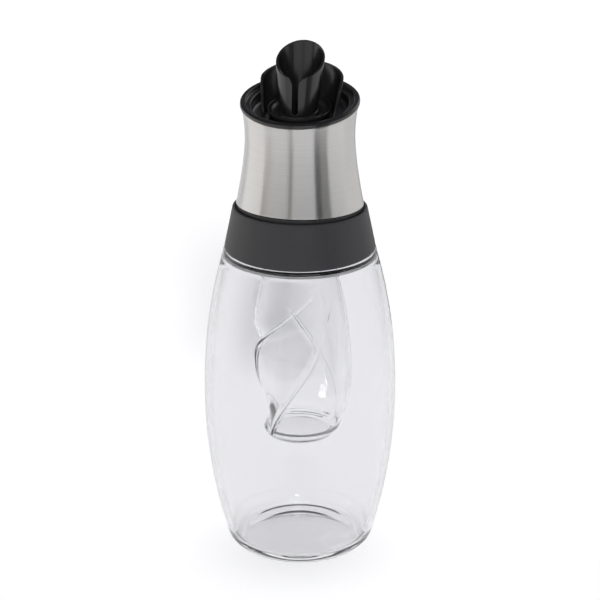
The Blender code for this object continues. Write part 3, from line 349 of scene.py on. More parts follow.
# %% [markdown]
# ## Glass
#
# Clear glass has almost no colour of its own. What shows is the light that it bends, and a slight
# grey where the wall is thick. A thin see-through shader would be quicker to render, but it would
# lose the dark bent edges. So both clear pieces are real walls with an outside and an inside, and a
# shader that bends light. Light passes through them to the floor, but a renderer takes glass for
# solid when it works out a shadow. So a helper tells the two clear pieces to cast none.

# %% Glass and clear plastic
def clear(name, tint, index):
    return principled(name, Base_Color=(*tint, 1), Roughness=0.0, IOR=index,
                      Transmission_Weight=1.0)


bottle_glass = clear("bottle_glass", (0.975, 0.975, 0.984), 1.5)
vessel_clear = clear("vessel_clear", (0.996, 0.996, 0.999), 1.49)


def let_light_through(piece):
    piece.visible_shadow = False
    piece.visible_diffuse = False


print("made", bottle_glass.name, "and", vessel_clear.name)

# %% [markdown]
# ## Brushed steel
#
# The head's sleeve was brushed while it turned, so its scratches run round it. Drawn lines would
# repeat. Noise that is stretched far round the sleeve and pressed together in height gives fine
# rings that never repeat, and the same noise makes some rings a little rougher than others. Such
# scratches smear every reflection up and down, so the shader's gloss is stretched that way too.

# %% Brushed steel
def brushing(net):
    rings = net.stretched((4.0, 4.0, 2200.0))
    return net.noise(rings, 1.0, 4.0)


brushed_steel = principled(
    "brushed_steel",
    Base_Color=lambda net: net.blend(brushing(net), (0.60, 0.59, 0.575, 1), (0.82, 0.81, 0.79, 1)),
    Metallic=1.0,
    Roughness=lambda net: 0.26 + brushing(net) * 0.1,
    Anisotropic=1.0,
    Anisotropic_Rotation=0.25,
    Normal=lambda net: net.bump(brushing(net), 0.14, 0.00005),
)
plain_steel = principled(
    "plain_steel", Base_Color=(0.55, 0.55, 0.56, 1), Metallic=1.0,
    Roughness=lambda net: 0.28 + net.noise(net.position(), 900.0) * 0.12)
print("made", brushed_steel.name, "and", plain_steel.name)

# %% [markdown]
# ## Plastics and silicone
#
# The grip band is soft to the touch: grey, nearly without gloss, with the fine even grain of the
# mould. The cup and spouts are hard and glossy. Pure black would look like a hole, so the black is
# a very dark grey, and slight waves in its gloss keep it from looking painted on.

# %% Plastics and silicone
def grain(net, scale):
    return net.noise(net.position(), scale, 3.0)


soft_grey = principled(
    "soft_grey",
    Base_Color=lambda net: net.blend(grain(net, 700.0), (0.023, 0.023, 0.025, 1),
                                     (0.030, 0.030, 0.033, 1)),
    Roughness=lambda net: 0.42 + grain(net, 900.0) * 0.14,
    Specular_IOR_Level=0.45,
    Normal=lambda net: net.bump(grain(net, 2600.0), 0.25, 0.00006),
)
gloss_black = principled(
    "gloss_black",
    Base_Color=(0.006, 0.006, 0.0065, 1),
    Roughness=lambda net: 0.18 + grain(net, 160.0) * 0.12,
    Specular_IOR_Level=0.75,
    Normal=lambda net: net.bump(grain(net, 120.0), 0.05, 0.00005),
)
satin_black = principled(
    "satin_black",
    Base_Color=(0.013, 0.013, 0.014, 1),
    Roughness=lambda net: 0.34 + grain(net, 500.0) * 0.16,
    Normal=lambda net: net.bump(grain(net, 1500.0), 0.15, 0.00004),
)
valve_white = principled(
    "valve_white",
    Base_Color=(0.78, 0.78, 0.76, 1),
    Roughness=lambda net: 0.3 + grain(net, 600.0) * 0.12,
)
seal_silicone = principled(
    "seal_silicone",
    Base_Color=lambda net: net.blend(grain(net, 300.0), (0.42, 0.43, 0.44, 1),
                                     (0.5, 0.51, 0.52, 1)),
    Roughness=lambda net: 0.5 + grain(net, 800.0) * 0.15,
)
print("made the plastics and the silicone")

# %% [markdown]
# ## Bottle
#
# The bottle is blown glass: a belly that narrows to a small foot and to the shoulder, a thick base
# pushed up into a shallow dome, and a short straight neck under the band. The belly could be a
# sphere stretched by hand, but a plain power curve fits its side better, full in the middle and
# straighter towards both ends.

# %% Outline of the bottle
BELLY_RADIUS, BELLY_Z = 42, 73
SHOULDER_RADIUS, SHOULDER_Z = 33.1, 138
HEEL_RADIUS, HEEL_Z = 32.26, 5.9
FOOT_RADIUS, FOOT_WIDTH = 24.7, 1
DOME_RISE, BASE_GLASS, WALL_GLASS = 4.5, 5, 2.8
INNER_FLOOR_RADIUS = 27.8
NECK_BORE, NECK_OUTSIDE, NECK_TOP = 24, 27, 151
UPPER_FULLNESS, LOWER_FULLNESS = 2.1, 2.05
SHOULDER_ROUND, NECK_RIM_ROUND = 1, 1
NECK_ROOT_ROUND, BORE_END_ROUND, ROOF_ROUND = 0.5, 1.2, 3
LEDGE_Z = SHOULDER_Z + SHOULDER_ROUND


def belly(height):
    """The outside radius of the bottle at a height."""
    if height > BELLY_Z:
        share = (height - BELLY_Z) / (SHOULDER_Z - BELLY_Z)
        return mix(BELLY_RADIUS, SHOULDER_RADIUS, share ** UPPER_FULLNESS)
    share = (BELLY_Z - height) / (BELLY_Z - HEEL_Z)
    return mix(BELLY_RADIUS, HEEL_RADIUS, share ** LOWER_FULLNESS)


def heel(ring_radius, ring_z, wall_radius, wall_z, steps):
    """The rounded corner at the foot, which runs into the side without an edge."""
    lean = math.atan((BELLY_RADIUS - HEEL_RADIUS) * LOWER_FULLNESS / (BELLY_Z - HEEL_Z))
    reach_radius = (wall_radius - ring_radius) / math.cos(lean)
    reach_z = (wall_z - ring_z) / (1 - math.sin(lean))
    return arc(ring_radius, ring_z + reach_z, reach_radius, reach_z,
               -90, -math.degrees(lean), steps)


def dome(radius, rim_z, steps):
    """The pushed-up base, from the axis out to its rim."""
    return [(radius * share, rim_z + DOME_RISE * (1 - share * share))
            for share in spread(0, 1, steps)]


print("the bottle is", 2 * BELLY_RADIUS, "mm wide at", BELLY_Z, "mm up")

# %% [markdown]
# ### Glass of the bottle
#
# The inside follows the outside at the wall's thickness, apart from the base, where the glass is
# thick and its inner corner catches the light. Solidify could give the wall its thickness, but it
# would be the same all over. So the section is drawn right round, outside and in.

# %% Bottle
def bottle_section():
    inner_heel_z = HEEL_Z + BASE_GLASS
    inner_heel_radius = belly(inner_heel_z) - WALL_GLASS
    roof_z = LEDGE_Z - WALL_GLASS
    section = dome(FOOT_RADIUS - FOOT_WIDTH, 0, 12)
    section += heel(FOOT_RADIUS, 0, HEEL_RADIUS, HEEL_Z, 12)
    section += [(belly(height), height) for height in spread(HEEL_Z, SHOULDER_Z, 44)[1:]]
    section += bend(SHOULDER_RADIUS - SHOULDER_ROUND, SHOULDER_Z, SHOULDER_ROUND, 0, 90, 5)[1:]
    section += bend(NECK_OUTSIDE + NECK_ROOT_ROUND, LEDGE_Z + NECK_ROOT_ROUND, NECK_ROOT_ROUND,
                    270, 180, 3)
    section += bend(NECK_OUTSIDE - NECK_RIM_ROUND, NECK_TOP - NECK_RIM_ROUND, NECK_RIM_ROUND,
                    0, 90, 5)
    section += bend(NECK_BORE + NECK_RIM_ROUND, NECK_TOP - NECK_RIM_ROUND, NECK_RIM_ROUND,
                    90, 180, 5)
    section += bend(NECK_BORE + BORE_END_ROUND, roof_z + BORE_END_ROUND, BORE_END_ROUND,
                    180, 270, 4)
    side_top_z = roof_z - ROOF_ROUND
    section += bend(belly(side_top_z) - WALL_GLASS - ROOF_ROUND, side_top_z, ROOF_ROUND, 90, 0, 6)
    section += [(belly(height) - WALL_GLASS, height)
                for height in spread(side_top_z, inner_heel_z, 44)[1:-1]]
    section += reversed(heel(INNER_FLOOR_RADIUS, BASE_GLASS, inner_heel_radius, inner_heel_z, 10))
    section += list(reversed(dome(INNER_FLOOR_RADIUS, BASE_GLASS, 14)))[1:]
    return section


bottle = turn_section("bottle_wall", bottle_section(), steps=160)
shade(bottle, angle=50)
bottle.data.materials.append(bottle_glass)
let_light_through(bottle)
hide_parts("outer_bottle")
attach(bottle, "bottle")
report(bottle)

# %% [markdown]
# ## Inner vessel
#
# The vinegar hangs in a clear teardrop, round in the neck and at the foot, with two flat sides
# that twist between them. One flat runs up to the neck, and the other fades out soon above the
# belly. Where flats and round side meet they leave three soft creases, each with a fine bead on it.
# Bending a finished teardrop would stretch it, so a plain turned blank is made first. Then each of
# its points is moved round and in or out, to the place that the twisted section has at that height.
# First come the sizes that were read off the photograph.

# %% Sizes of the vessel
VESSEL_FOOT, VESSEL_TOP, VESSEL_WALL = 52.3, 148.3, 1.3
VESSEL_BELLY_Z, CREASE_Z, VESSEL_NECK_Z = 81.1, 90.7, 127.18
VESSEL_BELLY, VESSEL_NECK, VESSEL_FOOT_RADIUS = 23.1, 16.2, 15.5
UPPER_CURVE, LOWER_CURVE = 2, 2.2
FLOOR_GLASS, FLOOR_RISE, FLOOR_EDGE = 2.2, 0.8, 12.5
VESSEL_HEEL, LIP_HEIGHT, LIP_HALF = 2.5, 0.6, 0.8
HEEL_START, HEEL_REACH, INNER_HEEL_START, INNER_HEEL_REACH, SIDE_START = 13, 2.55, 12, 2.2, 3
FLATTEST, FOOT_FADE_SHARE = 0.1, 0.1
# The creases are smeared by some degrees each way: little low down, more above, and a bit more on
# the inside. A bead starts above the foot and grows upwards.
SHARP_CREASE, SOFT_CREASE, MORE_INSIDE, SOFTENING_Z = 4.5, 16, 1.5, 98
BEAD_FOOT_GAP, BEAD_FOOT_LENGTH, BEAD_GROWTH_Z = 1.5, 4, 94
CHANGE_LENGTH = 14
COLUMN_PULL = 0.13

# A crease's direction at CREASE_Z, its turn above and below that height, its reach as a share of
# the round teardrop's, and the height at which the flat after it has faded out. The side after the
# second crease is round.
Crease = namedtuple("Crease", "azimuth turn_up turn_down reach flat_end_z")
CREASES = (Crease(-166, 124, 57, 0.90, VESSEL_NECK_Z), Crease(-65, 46, 65, 0.98, None),
           Crease(95, 66, 69, 0.98, 106))
# The bead on each crease: its rise and half width, the height at which it ends and the length of
# that end, and the share of its rise that it has low down.
Bead = namedtuple("Bead", "rise half_width end_z end_length low_share")
BEADS = (Bead(1.6, 1.2, 124.5, 2, 0.05), Bead(0.8, 0.8, 114, 16, 0.8),
         Bead(0.9, 0.85, 100, 10, 0.8))
print("the vessel is", round(VESSEL_TOP - VESSEL_FOOT, 1), "mm tall, with", len(CREASES), "creases")

# %% [markdown]
# ### Round blank and creases
#
# The round blank is widest low down, and narrows to the neck and to the foot. On the way down from
# the neck the creases turn round it, and the flats between them fade in and out. The creases could
# be drawn as curves on the blank, but a rule for where each one is at a height is more exact.

# %% Round blank and its creases
def teardrop(height):
    """The outside radius of the round blank at a height."""
    if height > VESSEL_BELLY_Z:
        share = min((height - VESSEL_BELLY_Z) / (VESSEL_NECK_Z - VESSEL_BELLY_Z), 1)
        return mix(VESSEL_BELLY, VESSEL_NECK, share ** UPPER_CURVE)
    share = (VESSEL_BELLY_Z - height) / (VESSEL_BELLY_Z - VESSEL_FOOT)
    return mix(VESSEL_BELLY, VESSEL_FOOT_RADIUS, share ** LOWER_CURVE)


def roundness(height, round_z=VESSEL_NECK_Z):
    """FLATTEST at CREASE_Z, and 1 from round_z up and at the foot."""
    up = (height - CREASE_Z) / (round_z - CREASE_Z)
    down = 1 - (height - VESSEL_FOOT) / (FOOT_FADE_SHARE * (VESSEL_TOP - VESSEL_FOOT))
    return mix(FLATTEST, 1, ease(max(up, down)))


def crease_at(crease, height):
    """A crease's direction at a height, and its reach there."""
    if height > CREASE_Z:
        turn = crease.turn_up * min((height - CREASE_Z) / (VESSEL_NECK_Z - CREASE_Z), 1)
    else:
        turn = -crease.turn_down * (CREASE_Z - height) / (CREASE_Z - VESSEL_FOOT)
    return crease.azimuth + turn, mix(crease.reach, 1, roundness(height))


for crease in CREASES:
    azimuth, reach = crease_at(crease, VESSEL_BELLY_Z)
    print("at the belly a crease is at", round(azimuth), "degrees and reaches", round(reach, 2))

# %% [markdown]
# ### Reach of the section
#
# At each height the outside is a round with two of its sides cut flat. It could be drawn at a few
# heights and joined up, but a rule for its reach in any direction serves every point of the mesh.
# The reach runs straight from crease to crease across a flat, and stays round on the round side.
# An average over nearby directions rounds the creases.

# %% Reach of the twisted section
def reach_towards(azimuth, height):
    """How far the section reaches in one direction, as a share of the round teardrop."""
    places = [crease_at(crease, height) for crease in CREASES]
    for index, (start, start_reach) in enumerate(places):
        end, end_reach = places[(index + 1) % 3]
        width = (end - start) % 360
        along = (azimuth - start) % 360
        if along > width:
            continue
        round_reach = mix(start_reach, end_reach, along / width)
        flat_end_z = CREASES[index].flat_end_z
        if flat_end_z is None:
            return round_reach
        turn, whole = math.radians(along), math.radians(width)
        cross = start_reach * end_reach * math.sin(whole)
        flat_reach = cross / (start_reach * math.sin(turn) + end_reach * math.sin(whole - turn))
        return mix(flat_reach, round_reach, roundness(height, flat_end_z))
    return 1.0


def soft_reach(azimuth, height, softness):
    """The same, averaged over nearby directions, so that the creases come out rounded."""
    if height >= VESSEL_NECK_Z:
        return 1.0
    turns = spread(-softness, softness, 4)
    return sum(reach_towards(azimuth + turn, height) for turn in turns) / len(turns)


def bead_rise(azimuth, height):
    """How far the beads, which are rounded across, rise from the outside."""
    rise = 0
    for crease, bead in zip(CREASES, BEADS):
        off = abs((azimuth - crease_at(crease, height)[0] + 180) % 360 - 180)
        distance = math.radians(off) * teardrop(height) / bead.half_width
        fade = ease((bead.end_z - height) / bead.end_length + 0.5)
        fade *= ease((height - VESSEL_FOOT - BEAD_FOOT_GAP) / BEAD_FOOT_LENGTH)
        fade *= mix(bead.low_share, 1, ease((height - BEAD_GROWTH_Z) / CHANGE_LENGTH))
        if distance < 1:
            rise = max(rise, bead.rise * fade * math.sqrt(1 - distance ** 2))
    return rise


front_reach = soft_reach(-90, CREASE_Z, SHARP_CREASE)
print("at", CREASE_Z, "mm it reaches", round(front_reach * teardrop(CREASE_Z), 1), "mm forward")

# %% [markdown]
# ### Blank of the vessel
#
# The blank is turned like the bottle, with its outside and its inside in one section. A shape so
# plain could do with few rows, but each row is a height at which the twist can change. So they are
# close together everywhere below the neck.

# %% Blank of the vessel
def raised_floor(edge_z, edge_radius, radii):
    """Section points of a floor that rises a little towards the axis."""
    return [(radius, edge_z + FLOOR_RISE * (1 - (radius / edge_radius) ** 2)) for radius in radii]


def vessel_section():
    floor_z, lip_z = VESSEL_FOOT + FLOOR_GLASS, VESSEL_TOP - LIP_HEIGHT
    section = raised_floor(VESSEL_FOOT, FLOOR_EDGE, (0, 4, 8, 11))
    section += arc(HEEL_START, VESSEL_FOOT + VESSEL_HEEL, HEEL_REACH, VESSEL_HEEL, -90, -10, 7)
    section += [(teardrop(height), height)
                for height in spread(VESSEL_FOOT + SIDE_START, VESSEL_NECK_Z, 90)]
    section += [(VESSEL_NECK, height) for height in spread(VESSEL_NECK_Z, lip_z, 6)[1:]]
    section += arc(VESSEL_NECK - LIP_HALF, lip_z, LIP_HALF, LIP_HEIGHT, 0, 180, 6)[1:-1]
    inside = spread(lip_z, VESSEL_NECK_Z, 6)
    inside += spread(VESSEL_NECK_Z, floor_z + SIDE_START, 60)[1:]
    section += [(teardrop(height) - VESSEL_WALL, height) for height in inside]
    section += arc(INNER_HEEL_START, floor_z + VESSEL_HEEL, INNER_HEEL_REACH, VESSEL_HEEL,
                   -10, -90, 6)
    section += raised_floor(floor_z, INNER_HEEL_START, (9, 5, 0))
    return section


vessel = turn_section("vessel_wall", vessel_section(), steps=240)
report(vessel)

# %% [markdown]
# ### Twist of the vessel
#
# Now each point moves to its place on the twisted section. It could keep its direction from the
# axis, but a crease that crosses the columns of the mesh comes out as a zigzag. So each column
# turns with the creases, and columns are drawn close to them. The wall keeps its thickness, and
# only the outside gets the beads.

# %% Inner vessel
def along_creases(azimuth, height):
    """Turns each column of the blank to follow the creases, and draws columns close to them."""
    for index, crease in enumerate(CREASES):
        following = CREASES[(index + 1) % 3]
        share = (azimuth - crease.azimuth) % 360 / ((following.azimuth - crease.azimuth) % 360)
        if share <= 1:
            start = crease_at(crease, height)[0]
            width = (crease_at(following, height)[0] - start) % 360
            return start + width * (share - COLUMN_PULL * math.sin(math.tau * share))
    return azimuth


def twist_flats(place):
    radius = math.hypot(place.x, place.y) / MM
    height = place.z / MM
    azimuth = along_creases(math.degrees(math.atan2(place.y, place.x)), height)
    outside = teardrop(height)
    inner = radius < outside - VESSEL_WALL / 2
    softness = mix(SHARP_CREASE, SOFT_CREASE, ease((height - SOFTENING_Z) / CHANGE_LENGTH))
    shape = soft_reach(azimuth, height, softness + (MORE_INSIDE if inner else 0))
    if radius < FLOOR_EDGE:
        moved = radius * mix(1, shape, radius / FLOOR_EDGE)
    elif inner:
        moved = shape * outside - (outside - radius)
    else:
        moved = shape * radius + bead_rise(azimuth, height)
    turn = math.radians(azimuth)
    return Vector((moved * math.cos(turn) * MM, moved * math.sin(turn) * MM, place.z))


move_points(vessel, twist_flats)
shade(vessel, angle=60)
vessel.data.materials.append(vessel_clear)
let_light_through(vessel)
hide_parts("inner_vessel")
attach(vessel, "vessel")
report(vessel)

# %% [markdown]
# ## Grip band
#
# The grey band is a hollow cone that rests just above the glass shoulder. Its upper rim is a thin
# cuff, cut at a slant that rises towards the front, and the dark foot of the head turns inside it.
# The band could be modelled with its slant from the start, but a straight section is easier to
# draw. So it is spun level, and then the rim is slanted, by an amount that grows up the side.

# %% Grip band
BAND_Z, BAND_SLANT_Z, CUFF_Z = 139.05, 151.5, 157.6
BAND_FOOT_RADIUS, CUFF_OUTSIDE, CUFF_BORE = 32.8, 29.0, 27.9
BAND_FOOT_ROUND, CUFF_ROUND, CUFF_BORE_ROUND = 0.9, 0.4, 0.2
TURNING_Z, WEB_Z, WELL_RADIUS = 156.2, 155.3, 22.2
NECK_ROOM, PAD_ROOM, PAD_ROOM_Z = 27.5, 31.0, 140.2
CUFF_SLOPE = -0.045
CLOSE = 0.1


def cone_radius(height):
    """The outside radius of the band at a height."""
    return mix(BAND_FOOT_RADIUS, CUFF_OUTSIDE, (height - BAND_Z) / (CUFF_Z - BAND_Z))


def band_section():
    section = bend(cone_radius(BAND_Z + 1) - BAND_FOOT_ROUND, BAND_Z + BAND_FOOT_ROUND,
                   BAND_FOOT_ROUND, -90, 10, 7)
    section += [(cone_radius(height), height) for height in spread(BAND_Z + 1.6, CUFF_Z - 0.5, 12)]
    section += arc(CUFF_OUTSIDE - CUFF_ROUND, CUFF_Z - CUFF_ROUND, 0.42, CUFF_ROUND, 12, 90, 4)
    section += bend(CUFF_BORE + CUFF_BORE_ROUND, CUFF_Z - CUFF_BORE_ROUND, CUFF_BORE_ROUND,
                    90, 180, 3)
    section += [(CUFF_BORE, TURNING_Z), (WELL_RADIUS, TURNING_Z), (WELL_RADIUS, WEB_Z)]
    section += [(NECK_ROOM, WEB_Z), (NECK_ROOM, PAD_ROOM_Z), (PAD_ROOM, PAD_ROOM_Z)]
    section += [(PAD_ROOM, BAND_Z)]
    return section


def slant_cuff(place):
    """Slants the outside and the cuff. The level face that the head turns on stays level."""
    height = place.z / MM
    radius = math.hypot(place.x, place.y) / MM
    share = max(height - BAND_SLANT_Z, 0) / (CUFF_Z - BAND_SLANT_Z)
    outside = radius > CUFF_BORE + CLOSE
    cuff_bore = radius > CUFF_BORE - CLOSE and height > TURNING_Z + CLOSE
    if outside or cuff_bore:
        place.z += CUFF_SLOPE * share * place.y
    return place


band = turn_section("grip_band", band_section())
move_points(band, slant_cuff)
report(band)

# %% [markdown]
# ### Stop lug
#
# A small lug stands on the level face that the head turns on, and ends the turn. It could be left
# out, because it hardly shows, but it is what stops the head. A cube at its size and place, with
# its edges rounded, is joined to the band.

# %% Stop lug
LUG_Y, LUG_Z, LUG_SIZE, LUG_ROUND = -24.8, 156.8, (4.2, 1.3, 1.4), 0.15

deselect_all()
bpy.ops.mesh.primitive_cube_add(size=1, location=(0, LUG_Y * MM, LUG_Z * MM))
lug = bpy.context.object
lug.name = "stop_lug"
bpy.ops.object.mode_set(mode="EDIT")
bpy.ops.transform.resize(value=[side * MM for side in LUG_SIZE])
bpy.ops.object.mode_set(mode="OBJECT")
bpy.ops.object.transform_apply(location=True, rotation=True, scale=True)
soften_edges(lug, LUG_ROUND, segments=2)
apply_modifier(band, "BOOLEAN", operation="UNION", object=lug)
bpy.data.objects.remove(lug)
shade(band)
band.data.materials.append(soft_grey)
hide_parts("neck_collar")
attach(band, "collar")
report(band)

# %% [markdown]
# ## Steel sleeve
#
# The sleeve is thin sheet steel, spun to a waist. Its lower edge drops a little towards the back
# and its upper edge drops towards the front. Cuts could slant the edges, but the rows of the mesh
# would not follow them. So it is an upright turned tube, and every point is lifted by its distance
# from the axis times a slope that changes with height. A small Bevel stands for its turned edges.

# %% Steel sleeve
SLEEVE_Z, SLEEVE_HEIGHT, SLEEVE_WALL, SLEEVE_EDGE_ROUND = 158.99, 44.2, 0.8, 0.25
SLEEVE_FOOT_RADIUS, WAIST_RADIUS, SLEEVE_TOP_RADIUS = 27.5, 23.55, 24.9
WAIST_SHARE, FLARE_DOWN, FLARE_UP = 0.679, 1.6, 2
FOOT_SLOPE, RIM_SLOPE = -0.065, 0.14


def sleeve_radius(share):
    """The outside radius at a share of the sleeve's height."""
    if share < WAIST_SHARE:
        return mix(WAIST_RADIUS, SLEEVE_FOOT_RADIUS, (1 - share / WAIST_SHARE) ** FLARE_DOWN)
    return mix(WAIST_RADIUS, SLEEVE_TOP_RADIUS,
               ((share - WAIST_SHARE) / (1 - WAIST_SHARE)) ** FLARE_UP)


def sleeve_section():
    shares = spread(0, 1, 40)
    outside = [(sleeve_radius(share), SLEEVE_Z + share * SLEEVE_HEIGHT) for share in shares]
    return outside + [(radius - SLEEVE_WALL, height) for radius, height in reversed(outside)]


def slant_sleeve(place):
    share = (place.z / MM - SLEEVE_Z) / SLEEVE_HEIGHT
    place.z += mix(FOOT_SLOPE, RIM_SLOPE, share) * place.y
    return place


sleeve = turn_section("sleeve", sleeve_section(), steps=160)
soften_edges(sleeve, SLEEVE_EDGE_ROUND)
move_points(sleeve, slant_sleeve)
shade(sleeve)
sleeve.data.materials.append(brushed_steel)
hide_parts("steel_sleeve")
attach(sleeve, "head")
report(sleeve)

# %% [markdown]
# ## Drip cup
#
# A glossy black cup closes the sleeve. Its thick lip laps over the steel, and a step inside the
# lip leads down to the floor where drips collect. The cup could be drawn with its slant, but it is
# turned upright as well, and slanted as a whole at the end.

# %% Drip cup
CUP_BASE_Z, CUP_FLOOR_Z, LIP_Z, STEP_Z, RIM_Z = 197.3, 198.9, 203.5, 203.8, 205.4
CUP_OUTSIDE, CUP_INSIDE, LIP_OUTSIDE, LIP_INSIDE = 22.3, 20.8, 25.5, 23.1
RIM_ROUND, LIP_ROUND, STEP_ROUND, FLOOR_ROUND, STEP_CORNER = 0.8, 0.35, 0.5, 1.5, 0.2
FLARE_Z, FLARE_RADIUS, STEM_HOLE = 201.2, 23.75, 8.2


def cup_section():
    section = [(0, CUP_BASE_Z), (CUP_OUTSIDE, CUP_BASE_Z), (CUP_OUTSIDE, FLARE_Z)]
    section += [(FLARE_RADIUS, LIP_Z), (LIP_OUTSIDE - 0.5, LIP_Z)]
    section += bend(LIP_OUTSIDE - LIP_ROUND, LIP_Z + LIP_ROUND, LIP_ROUND, -90, 0, 3)
    section += bend(LIP_OUTSIDE - RIM_ROUND, RIM_Z - RIM_ROUND, RIM_ROUND, 0, 90, 6)
    section += bend(LIP_INSIDE + LIP_ROUND, RIM_Z - LIP_ROUND, LIP_ROUND, 90, 180, 3)
    section += [(LIP_INSIDE, STEP_Z + STEP_CORNER), (LIP_INSIDE - STEP_CORNER, STEP_Z)]
    section += [(21.7, STEP_Z)]
    section += bend(CUP_INSIDE + STEP_ROUND, STEP_Z - STEP_ROUND, STEP_ROUND, 90, 180, 3)
    section += bend(CUP_INSIDE - FLOOR_ROUND, CUP_FLOOR_Z + FLOOR_ROUND, FLOOR_ROUND, 0, -90, 5)
    section += [(radius, CUP_FLOOR_Z) for radius in (14, STEM_HOLE, 0)]
    return section


cup = turn_section("cup", cup_section())
report(cup)

# %% [markdown]
# ### Holes in the cup
#
# The floor has a hole for the vinegar's stem, a curved slot for the oil and a groove that the scoop
# stands in. They could be drawn into the floor's mesh, but each is a straight cut, so a Boolean
# with a plain block is quicker.

# %% Holes in the cup
STEM_Y, SCOOP_Y = -3, -2.5
THROUGH_FLOOR, INTO_FLOOR = (190, 205), (CUP_FLOOR_Z - 1, 204)
# inner and outer radius, and the two directions in degrees that it reaches to
OIL_SLOT, SCOOP_SEAT = (8.6, 11.4, 54, 126), (14.3, 16.1, -6, 186)


def cut_hole(piece, name, outline, low, high, centre_y=0.0):
    """Cuts a straight hole with an outline of (x, y) points in millimetres."""
    deselect_all()
    bpy.ops.mesh.primitive_circle_add(vertices=len(outline), radius=MM, fill_type="NGON")
    cutter = bpy.context.object
    cutter.name = name
    for vertex, (x, y) in zip(cutter.data.vertices, outline):
        vertex.co = Vector((x, y + centre_y, low)) * MM
    bpy.ops.object.mode_set(mode="EDIT")
    bpy.ops.mesh.select_all(action="SELECT")
    bpy.ops.mesh.extrude_region_move(TRANSFORM_OT_translate={"value": (0, 0, (high - low) * MM)})
    weld()
    bpy.ops.object.mode_set(mode="OBJECT")
    apply_modifier(piece, "BOOLEAN", operation="DIFFERENCE", object=cutter)
    bpy.data.objects.remove(cutter)


def circle(radius, steps=48):
    return bend(0, 0, radius, 0, 360, steps)[:-1]


def curved_slot(inner, outer, start, end, steps=16):
    return bend(0, 0, outer, start, end, steps) + bend(0, 0, inner, end, start, steps)


def rim_slant(place):
    place.z += RIM_SLOPE * place.y
    return place


cut_hole(cup, "stem_hole", circle(STEM_HOLE), *THROUGH_FLOOR, centre_y=STEM_Y)
cut_hole(cup, "oil_slot", curved_slot(*OIL_SLOT), *THROUGH_FLOOR)
cut_hole(cup, "scoop_seat", curved_slot(*SCOOP_SEAT), *INTO_FLOOR, centre_y=SCOOP_Y)
move_points(cup, rim_slant)
shade(cup, angle=35)
cup.data.materials.append(gloss_black)
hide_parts("drip_cup")
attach(cup, "head")
report(cup)

# %% [markdown]
# ## Oil scoop
#
# The oil runs up a half-open scoop at the back of the cup, which leans out towards the pouring
# side. It could be cut from a turned cone, but it is one curved sheet, so it starts as a flat grid.
# A rule puts each point of the grid in its place, and Solidify gives the sheet its thickness.

# %% Sheets that are bent round
def sheet(name, rule, columns, rows):
    """A grid whose points go where the rule puts them, from two shares from 0 to 1."""
    deselect_all()
    bpy.ops.mesh.primitive_grid_add(x_subdivisions=columns, y_subdivisions=rows, size=2)
    piece = bpy.context.object
    piece.name = piece.data.name = name
    for vertex in piece.data.vertices:
        vertex.co = rule((vertex.co.x + 1) / 2, (vertex.co.y + 1) / 2) * MM
    piece.data.update()
    return piece


def round_place(radius, angle, shift, height, slope):
    """A place at an angle in degrees on a leaning ring."""
    turn = math.radians(angle)
    along = shift + radius * math.sin(turn)
    return Vector((radius * math.cos(turn), along, height + slope * along))


def thicken(piece, wall):
    """Gives a sheet its thickness, inwards."""
    apply_modifier(piece, "SOLIDIFY", thickness=wall * MM, offset=-1, use_even_offset=True)


def face_outwards(piece):
    """Welds a rolled-up sheet and turns its faces away from the axis."""
    pick(piece)
    bpy.ops.object.mode_set(mode="EDIT")
    weld()
    bpy.ops.object.mode_set(mode="OBJECT")
    outward = sum(face.normal.x * face.center.x + face.normal.y * face.center.y
                  for face in piece.data.polygons)
    if outward < 0:
        bpy.ops.object.mode_set(mode="EDIT")
        bpy.ops.mesh.flip_normals()
        bpy.ops.object.mode_set(mode="OBJECT")


print("sheet tools are ready")

# %% [markdown]
# ### Shape of the scoop
#
# Each point goes to its place on a leaning ring. The two top corners could be cut off round, but
# there the columns of the grid are simply drawn back, so that its edge stays even for the Bevel.

# %% Oil scoop
SCOOP_WALL, SCOOP_CORNER, SCOOP_EDGE_ROUND = 1.2, 3.5, 0.3
SCOOP_FOOT_Z, SCOOP_TOP_Z = 198.2, 212.8
SCOOP_FOOT_RADIUS, SCOOP_TOP_RADIUS = 15.8, 17.9
SCOOP_TOP_Y, SCOOP_TOP_SLOPE, SCOOP_OPENING = 3, 0.19, 4


def scoop_place(around, up):
    radius = mix(SCOOP_FOOT_RADIUS, SCOOP_TOP_RADIUS, up)
    into_corner = max(SCOOP_CORNER - (1 - up) * (SCOOP_TOP_Z - SCOOP_FOOT_Z), 0)
    drawn_back = SCOOP_CORNER - math.sqrt(SCOOP_CORNER ** 2 - into_corner ** 2)
    edge = SCOOP_OPENING - math.degrees(drawn_back / radius)
    return round_place(radius, mix(-edge, 180 + edge, around), mix(SCOOP_Y, SCOOP_TOP_Y, ease(up)),
                       mix(SCOOP_FOOT_Z, SCOOP_TOP_Z, up), mix(RIM_SLOPE, SCOOP_TOP_SLOPE, up))


scoop = sheet("scoop", scoop_place, columns=72, rows=36)
face_outwards(scoop)
thicken(scoop, SCOOP_WALL)
soften_edges(scoop, SCOOP_EDGE_ROUND)
shade(scoop)
scoop.data.materials.append(gloss_black)
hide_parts("oil_spout")
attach(scoop, "head")
report(scoop)

# %% [markdown]
# ## Vinegar spout
#
# The vinegar comes up a tube that leans and widens, cut off at a slant. A slit runs down its low
# side and opens at the top into two rounded lapels. A hole cut with a Boolean would leave hard
# corners. Instead the tube is a sheet that is bent round until its two edges meet. Below the slit
# they are welded, and above it a gap stays open that widens towards the mouth.

